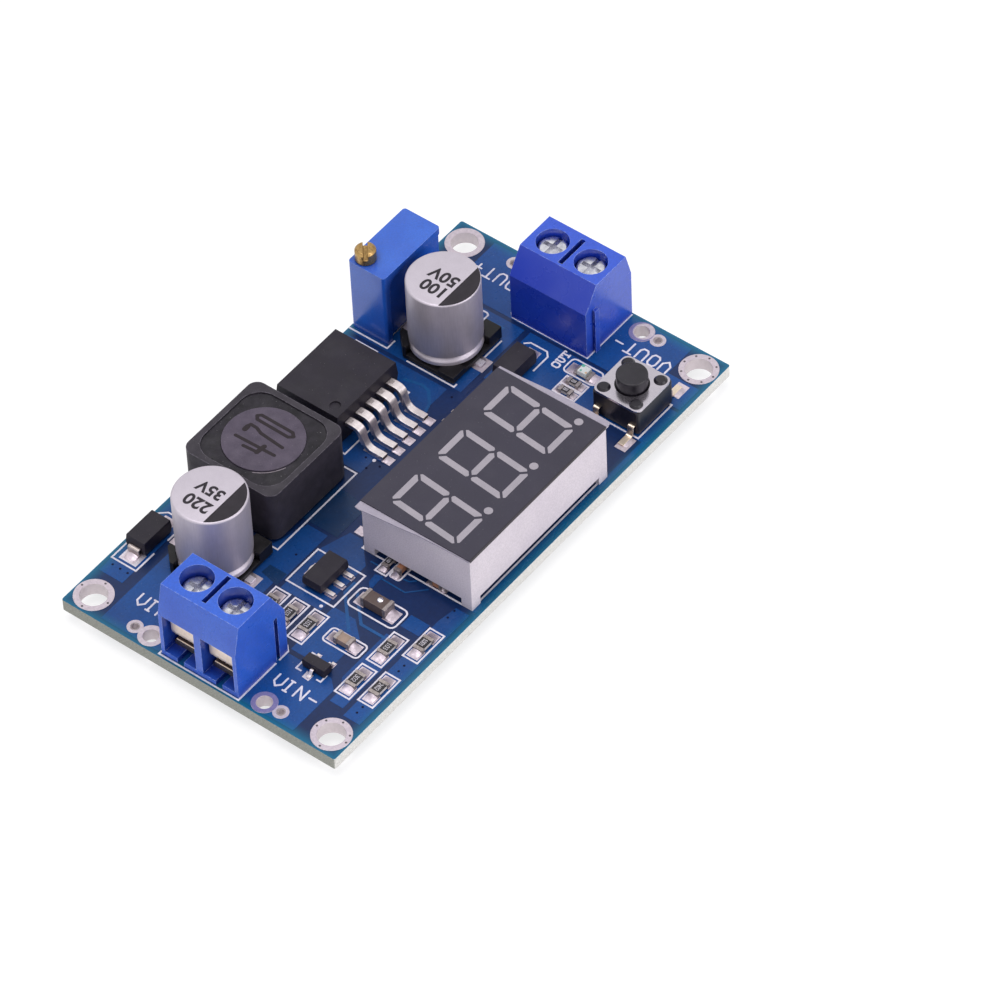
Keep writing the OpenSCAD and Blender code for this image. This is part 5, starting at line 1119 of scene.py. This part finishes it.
def coil_value(bm):
    """The figures on the inductor's drum."""
    low, high = box_mm("inductor_core")
    mid = ((low + high) / 2).to_2d()
    for i, (points, width) in enumerate(COIL_FIGURES):
        pen(bm, [mid + Vector(p) for p in points], width, high.z - SUNK, high.z + INK_RISE + NEXT_PATH * i)


def resistor_codes(bm):
    """A code along the longer side of each coat."""
    for code, (low, high) in zip(CODES, islands("resistor_coats")):
        mid = (low + high) / 2
        along = (-1, 0) if high.x - low.x >= high.y - low.y else (0, 1)
        tall = CODE_SHARE * min(high.x - low.x, high.y - low.y)
        step = tall * CODE_STEP[len(code)]
        run = len(code) * step - step * CODE_GAP
        start = Vector((mid.x, mid.y)) - Vector(along) * run / 2 - Vector((-along[1], along[0])) * tall / 2
        lettering(bm, code, start, along, step * (1 - CODE_GAP), tall, step * CODE_GAP, CODE_PEN,
                  high.z - SUNK, high.z + INK_RISE)


moulding("coil_ink", (28, 20, 26), (36, 28, 33), 0.6, 0.15, 0.02, 0.5, dust=0.05, shine=DULL)
moulding("code_ink", (214, 210, 216), (184, 180, 188), 0.6, 0.08, 0.004, 0.3)
layer("inductor_value", coil_value, "coil_ink")
layer("resistor_codes", resistor_codes, "code_ink")
print("codes", CODES)

# %% [markdown]
# ## Solder
# Reflowed solder climbs from the rim of each pad up the end of its part in a hollow curve. A fillet is
# a small sheet of such a curve, highest against the part and in the middle, closed by a rim and a floor.

# %% Shape a fillet
FILLET_STEPS = 7
FILLET_NARROWS, FILLET_CURVE, FILLET_DROOP = 0.25, 1.9, 0.55
FILLET_LENS, FILLET_LEAST, FILLET_SUNK = 0.03, 0.002, 0.005


def fillet(bm, foot, rise, inner, outer, half_w, base):
    """A hollow-curved wedge from inner (tall) to outer (thin) along foot, a unit direction in the plane."""
    across = Vector((-foot.y, foot.x))
    last = FILLET_STEPS - 1
    rows = []
    for i in range(FILLET_STEPS):
        s = i / last
        spot = inner.lerp(outer, s)
        narrow = half_w * (1 - FILLET_NARROWS * s * s)
        row = []
        for j in range(FILLET_STEPS):
            v = 2 * j / last - 1
            climb = rise * (1 - s) ** FILLET_CURVE * (1 - FILLET_DROOP * v * v)
            height = climb + FILLET_LENS * (1 - v ** 4) * (1 - s ** 4)
            p = spot + across * v * narrow
            row.append(bm.verts.new((p.x, p.y, base + max(height, FILLET_LEAST))))
        rows.append(row)
    for here, there in zip(rows, rows[1:]):
        for j in range(last):
            bm.faces.new((here[j], there[j], there[j + 1], here[j + 1]))
    rim = rows[0] + [row[-1] for row in rows[1:]] + rows[-1][-2::-1] + [row[0] for row in rows[-2:0:-1]]
    ground = [bm.verts.new((v.co.x, v.co.y, base - FILLET_SUNK)) for v in rim]
    wall(bm, rim, ground)
    bm.faces.new(ground)


print("a fillet has", FILLET_STEPS ** 2, "points on its curve")

# %% [markdown]
# Every metal end is matched with the pads under it. The fillet goes on the side where the pad shows
# most, as wide as the two overlap. How high it climbs depends on the part: far up a chip's end cap,
# hardly at all on a flat lead.

# %% Lay fillets on the pads
METAL_NODES = ["chip_end_caps", "converter_leads", "diode_leads", "meter_regulator_leads", "meter_transistor_leads",
               "capacitor_leads", "inductor_terminals", "switch_terminals"]
USUAL_CLIMB, MOST_RISE, TALL_END = 0.6, 0.5, 0.8
FILLET_CLIMB = {"chip_end_caps": 0.62, "diode_leads": 0.3, "converter_leads": 0.12, "switch_terminals": 0.2}
LEAST_ROOM, ROOM_SHARE, WIDTH_SHARE = 0.1, 0.94, 0.97


def pad_fillet(bm, climb, low, high, pad_low, pad_high):
    """A fillet between one metal end and one pad. True if they meet and there is room for it."""
    spans = [(max(low[k], pad_low[k]), min(high[k], pad_high[k])) for k in (0, 1)]
    if any(start > end for start, end in spans):
        return False
    sides = [(pad_high.x - high.x, 0, 1), (low.x - pad_low.x, 0, -1),
             (pad_high.y - high.y, 1, 1), (low.y - pad_low.y, 1, -1)]  # room, axis, way
    room, axis, way = max(sides, key=lambda side: side[0])
    if room < LEAST_ROOM:
        return False
    start, end = spans[1 - axis]
    foot, inner = Vector((0, 0)), Vector((0, 0))
    foot[axis] = way
    inner[axis], inner[1 - axis] = (high if way > 0 else low)[axis], (start + end) / 2
    rise = min(MOST_RISE, climb * (min(high.z, pad_high.z + TALL_END) - pad_high.z))
    fillet(bm, foot, rise, inner, inner + foot * room * ROOM_SHARE, (end - start) / 2 * WIDTH_SHARE, pad_high.z)
    return True


def solder_fillets(bm):
    """Fillets for every metal end that stands on a pad."""
    pads = islands("surface_pads")
    made = sum(pad_fillet(bm, FILLET_CLIMB.get(node, USUAL_CLIMB), *end, *pad)
               for node in METAL_NODES for end in islands(node) for pad in pads)
    print("solder fillets", made)


layer("solder_fillets", solder_fillets, "solder")

# %% [markdown]
# ## Small marks of making
# A few marks tell how the parts were made. Each is a thin piece that laps over its part. The toes of the converter's
# leads were cut after tinning, so bare brown metal shows. At their roots, where they leave the body, they are darker
# and duller. Between the lead and the rim of its pad, a blue plate hides part of the pad.

# %% Marks on the converter's leads
LAP = 0.012
TOE_SIDE, TOE_BACK, TOE_LOW, TOE_HIGH = 0.15, 0.04, 0.05, 0.44
ROOT_HALF, ROOT_FAR, ROOT_NEAR = 0.24, 0.66, 0.22
MARGIN_OUT, MARGIN_IN, MARGIN_FRONT = 0.05, 0.08, 0.12


def lead_toes(bm):
    """The cut ends of the leads."""
    for low, high in islands("converter_leads"):
        toe = box_outline(low.x + TOE_SIDE, high.x - TOE_SIDE, low.y - LAP, low.y + TOE_BACK)
        plate(bm, toe, low.z + TOE_LOW, low.z + TOE_HIGH)


def root_marks(bm):
    """A darker, duller patch where the leads leave the body."""
    front = box_mm("converter_body")[0].y
    for low, high in islands("converter_leads"):
        x = (low.x + high.x) / 2
        root = box_outline(x - ROOT_HALF, x + ROOT_HALF, front - ROOT_FAR, front - ROOT_NEAR)
        plate(bm, root, high.z - SUNK, high.z + LAP)


def mask_margins(bm):
    """Blue plates on both sides of each lead, over its pad, so less of the pad shows."""
    pads = islands("surface_pads")
    for low, high in islands("converter_leads"):
        for pad_low, pad_high in pads:
            if pad_low.x < (low.x + high.x) / 2 < pad_high.x and pad_low.y < low.y < pad_high.y:
                for x0, x1 in ((pad_low.x - MARGIN_OUT, low.x + MARGIN_IN),
                               (high.x - MARGIN_IN, pad_high.x + MARGIN_OUT)):
                    margin = box_outline(x0, x1, low.y + MARGIN_FRONT, pad_high.y + MARGIN_OUT)
                    plate(bm, margin, BOARD_TOP, pad_high.z + LAP)


moulding("cut_end", (74, 56, 50), (52, 40, 38), 0.5, 0.08, 0.01, 0.3)
# This grey is painted shade round the small bores, and the darker patch at each lead root.
moulding("bare_bore", (170, 160, 158), (142, 133, 132), 0.5, 0.1, 0.006, 0.4)
layer("cut_toes", lead_toes, "cut_end")
layer("root_marks", root_marks, "bare_bore")
layer("mask_margins", mask_margins, "mask_over_copper")
print("marks on", len(islands("converter_leads")), "leads")

# %% [markdown]
# The display's face is a dark paint that runs a little over the front edge. A clear film lies on it and
# stands out at both ends in an uneven bow. The film is a thin plate, with its bow given as points: how
# far down the end, and how far out.

# %% The display's paint and film
PAINT_SIDE, PAINT_BACK, PAINT_DOWN, PAINT_RISE = 0.05, 0.1, 0.36, 0.002
FILM_START, FILM_DOWN = 0.01, 0.1
FILM_BOW = ((0, 0.36), (0.2, 0.47), (0.33, 0.62), (0.45, 0.75), (0.6, 0.84), (0.8, 0.88), (0.95, 0.87), (1, 0.6))
FILM_LIP = ((0, 0.97), (0.04, 1.04), (0.12, 0.89), (0.19, 0.78), (0.3, 0.64), (0.42, 0.48), (0.53, 0.26),
            (0.75, 0.13), (1, 0.08))


def painted_front(bm):
    """Paint over the front edge."""
    low, high = box_mm("display_face")
    edge = box_outline(low.x + PAINT_SIDE, high.x, low.y - LAP, low.y + PAINT_BACK)
    plate(bm, edge, high.z - PAINT_DOWN, high.z + PAINT_RISE)


def display_film(bm):
    """The film's overhang at both ends."""
    low, high = box_mm("display_face")
    for end, way, bow in ((high.x, 1, FILM_BOW), (low.x, -1, FILM_LIP)):
        rim = [(end + way * out, high.y + (low.y - high.y) * down) for down, out in bow]
        start = end + way * FILM_START
        plate(bm, rim[::-1] + [(start, high.y), (start, low.y)], low.z - FILM_DOWN, low.z + LAP)


moulding("paint_edge", (44, 40, 47), (52, 47, 55), 0.5, 0.1, 0.006, 1.5, shine=DULL)
moulding("film_grey", (166, 160, 174), (158, 152, 167), 0.45, 0.1, 0.004, 1.2)
layer("paint_edge", painted_front, "paint_edge")
layer("display_film", display_film, "film_grey")
print("film stands out", max(out for _, out in FILM_BOW + FILM_LIP), "mm at most")

# %% [markdown]
# Each wire hole is a large ring with a small one beside it. Mask partly covers the large rings, printed a little aside,
# and round the bore of each small one a grey ring of painted shade makes the bore look wider. They are found by their
# size among the plated holes, and each mark is a flat ring that need not share the hole's centre.

# %% Masked rings and painted shade round the bores
WIRE_RING = (1.2, 1.6)
SMALL_RING, BORE_R, BORE_LINE = 0.875, 0.45, 0.13
INPUT_COVER, OUTPUT_COVER = (0.5, 0.0), (0.22, 0.15)  # how far the mask reaches in, and how far aside


def crescent(bm, outer, inner, low, high):
    """A flat ring between two loops of as many points, which need not share a centre."""
    loops = [[bm.verts.new((x, y, z)) for x, y in loop]
             for loop, z in ((outer, low), (outer, high), (inner, high), (inner, low))]
    for here, there in zip(loops, loops[1:] + loops[:1]):
        wall(bm, here, there)


def wire_rings():
    """The plated wire holes as (low, high, radius of the large ring)."""
    rings = [(low, high, (high.x - low.x) / 2) for low, high in islands("plated_holes")]
    return [ring for ring in rings if WIRE_RING[0] < ring[2] < WIRE_RING[1]]


def masked_rings(bm):
    """Mask on the large rings, except the positive one at the input."""
    for low, high, radius in wire_rings():
        if not (low.x < 0 < low.y):
            x, y = (low.x + high.x) / 2, low.y + radius if low.y > 0 else high.y - radius
            reach, aside = INPUT_COVER if low.x < 0 else OUTPUT_COVER
            crescent(bm, round_points(x, y, radius - SUNK, steps=36),
                     round_points(x + aside, y - aside, radius - SUNK - reach, steps=36), high.z - SUNK, high.z + LAP)


def worn_bores(bm):
    """Painted shade round the bore of each small ring, so the bore looks wider."""
    for low, high, _ in wire_rings():
        x, y = (low.x + high.x) / 2, low.y + SMALL_RING if low.y < 0 else high.y - SMALL_RING
        stroke(bm, round_points(x, y, BORE_R, steps=20), BORE_LINE, high.z - SUNK, high.z + LAP, True)


moulding("ring_mask", (132, 124, 166), (112, 108, 156), 0.32, 0.2, 0.006, 0.9)
layer("masked_rings", masked_rings, "ring_mask")
layer("worn_bores", worn_bores, "bare_bore")
print("wire rings", len(wire_rings()))

# %% [markdown]
# The lower edge of each clamp leaf is folded back under it, so the wire isn't cut. Seen through the funnel, the fold
# has a bright cut edge in front and a dark underside with a seam, painted as the shade under the leaf. Its pieces ride
# on the leaf, so they go up and down with it.

# %% Folds of the clamp leaves
FOLD_OUT, FOLD_LONG, FOLD_EDGE = 0.06, 1.4, 0.08
FOLD_NEAR, FOLD_FAR, FOLD_DOWN = 0.1, 0.7, 0.19
EDGE_TOP, SHADE_TOP, SEAM_TOP = -0.1, -0.12, 0.01


def clamp_fold(bm, node, edge):
    """The bright cut front edge of the fold, or the rest with its seam, dark as painted shade under the leaf."""
    low, high = box_mm(node)
    front, fold = low.x - FOLD_OUT, low.x + FOLD_LONG
    if low.x > 0:
        front, fold = high.x + FOLD_OUT, high.x - FOLD_LONG
    inward = math.copysign(FOLD_EDGE, fold - front)
    runs = [(front, front + inward, EDGE_TOP)]
    if not edge:
        runs = [(front + inward, fold, SHADE_TOP), (fold - inward, fold, SEAM_TOP)]
    for x0, x1, top in runs:
        plate(bm, box_outline(x0, x1, low.y + FOLD_NEAR, high.y - FOLD_FAR), low.z - FOLD_DOWN, low.z + top)


# Painted shade: this dark finish on the fold stands for the shade under the leaf.
moulding("fold_shade", (64, 53, 54), (52, 43, 45), 0.5, 0.1, 0.006, 0.4, shine=DULL)
CLAMPS = [name for name in SLOT_OF if name.endswith("_clamp")]
for node in CLAMPS:
    for ending, finish, edge in (("_fold", "fold_shade", False), ("_fold_edge", "tinned_strip", True)):
        layer(node + ending, lambda bm: clamp_fold(bm, node, edge), finish, BODY_OF[node])
print("folds on", CLAMPS)

# %% [markdown]
# Through the lamp's clear lens its chip shows as a gold dot, and its markings as teal spots. Their
# places are shares of the lens, so they stay on it if its size changes.

# %% Dots in the lamp
TEAL_SPOTS = ((0.82, 0.82, 0.2), (0.24, 0.7, 0.13))
GOLD_SPOTS = ((0.25, 0.14, 0.13),)


def lamp_marks(bm, spots):
    """Round spots on the lens, as (share along X, share along Y, radius)."""
    low, high = box_mm("indicator_lamp_lens")
    for u, v, radius in spots:
        x, y = low.x + (high.x - low.x) * u, low.y + (high.y - low.y) * v
        plate(bm, round_points(x, y, radius, steps=12), high.z - DEEP_SUNK, high.z + LAP)


moulding("lamp_teal", (84, 172, 150), (120, 194, 172), 0.35, 0.1, 0.004, 0.3)
moulding("lamp_gold", (222, 192, 158), (206, 172, 136), 0.35, 0.1, 0.004, 0.3)
layer("lamp_teal_spots", lambda bm: lamp_marks(bm, TEAL_SPOTS), "lamp_teal")
layer("lamp_gold_dot", lambda bm: lamp_marks(bm, GOLD_SPOTS), "lamp_gold")
print("lamp spots", len(TEAL_SPOTS + GOLD_SPOTS))

# %% [markdown]
# Soldering leaves marks too. A bright bead froze on the tall chip capacitor, and solder ran out
# beside a transistor lead and round the input diode's outer lead. The sealing compound round the
# inductor's drum has a pale scratch. The bead is a low dome, the others are thin plates and a stroke.

# %% Stray solder and a scratch
BEAD_AT, BEAD_R, BEAD_TALL = (-14.72, -9.16), 0.36, 0.16
BEAD_TURNS = (0, 0.35, 0.7, 1.05, 1.35)
SPREAD = ((0.76, 0.82), (0.68, -0.08), (-0.2, -0.08), (-0.14, 0.78))  # from the lead's lower corner
SPREAD_RISE = 0.062
DIODE_SPREAD, DIODE_RISE = box_outline(-25.21, -23.4, 14.47, 16.72), 0.04
SCRATCH_OUT, SCRATCH_ARC, SCRATCH_LINE = 0.17, (205, 248), 0.09


def solder_bead(bm):
    """A speck of bright solder that froze on the tall chip capacitor."""
    base = box_mm("ceramic_capacitor_bodies")[1].z - SUNK
    rings = [[bm.verts.new((*spot, base + BEAD_TALL * math.sin(turn)))
              for spot in round_points(*BEAD_AT, BEAD_R * math.cos(turn), steps=18)] for turn in BEAD_TURNS]
    for below, above in zip(rings, rings[1:]):
        wall(bm, below, above)
    bm.faces.new(rings[0][::-1])
    bm.faces.new(rings[-1])


def solder_spread(bm):
    """Solder that ran out beside the transistor's single lead, and round the input diode's outer lead."""
    low = min(islands("meter_transistor_leads"), key=lambda corners: corners[0].x)[0]
    plate(bm, [(low.x + x, low.y + y) for x, y in SPREAD], BOARD_TOP, BOARD_TOP + SPREAD_RISE)
    plate(bm, DIODE_SPREAD, BOARD_TOP, BOARD_TOP + DIODE_RISE)


def coil_scratches(bm):
    """A scratch in the compound, just outside the drum."""
    low, high = box_mm("inductor_core")
    mid, radius = (low + high) / 2, (high.x - low.x) / 2
    top = box_mm("inductor_potting")[1].z
    arc = round_points(mid.x, mid.y, radius + SCRATCH_OUT, *SCRATCH_ARC, 14)
    stroke(bm, arc, SCRATCH_LINE, top - DEEP_SUNK, top + LAP)


moulding("scratch", (150, 140, 148), (120, 112, 120), 0.6, 0.1, 0.01, 0.3)
layer("solder_bead", solder_bead, "bright_solder")
layer("solder_spread", solder_spread, "can_lead")
layer("coil_scratches", coil_scratches, "scratch")
print(len(FINISH), "finishes in all")
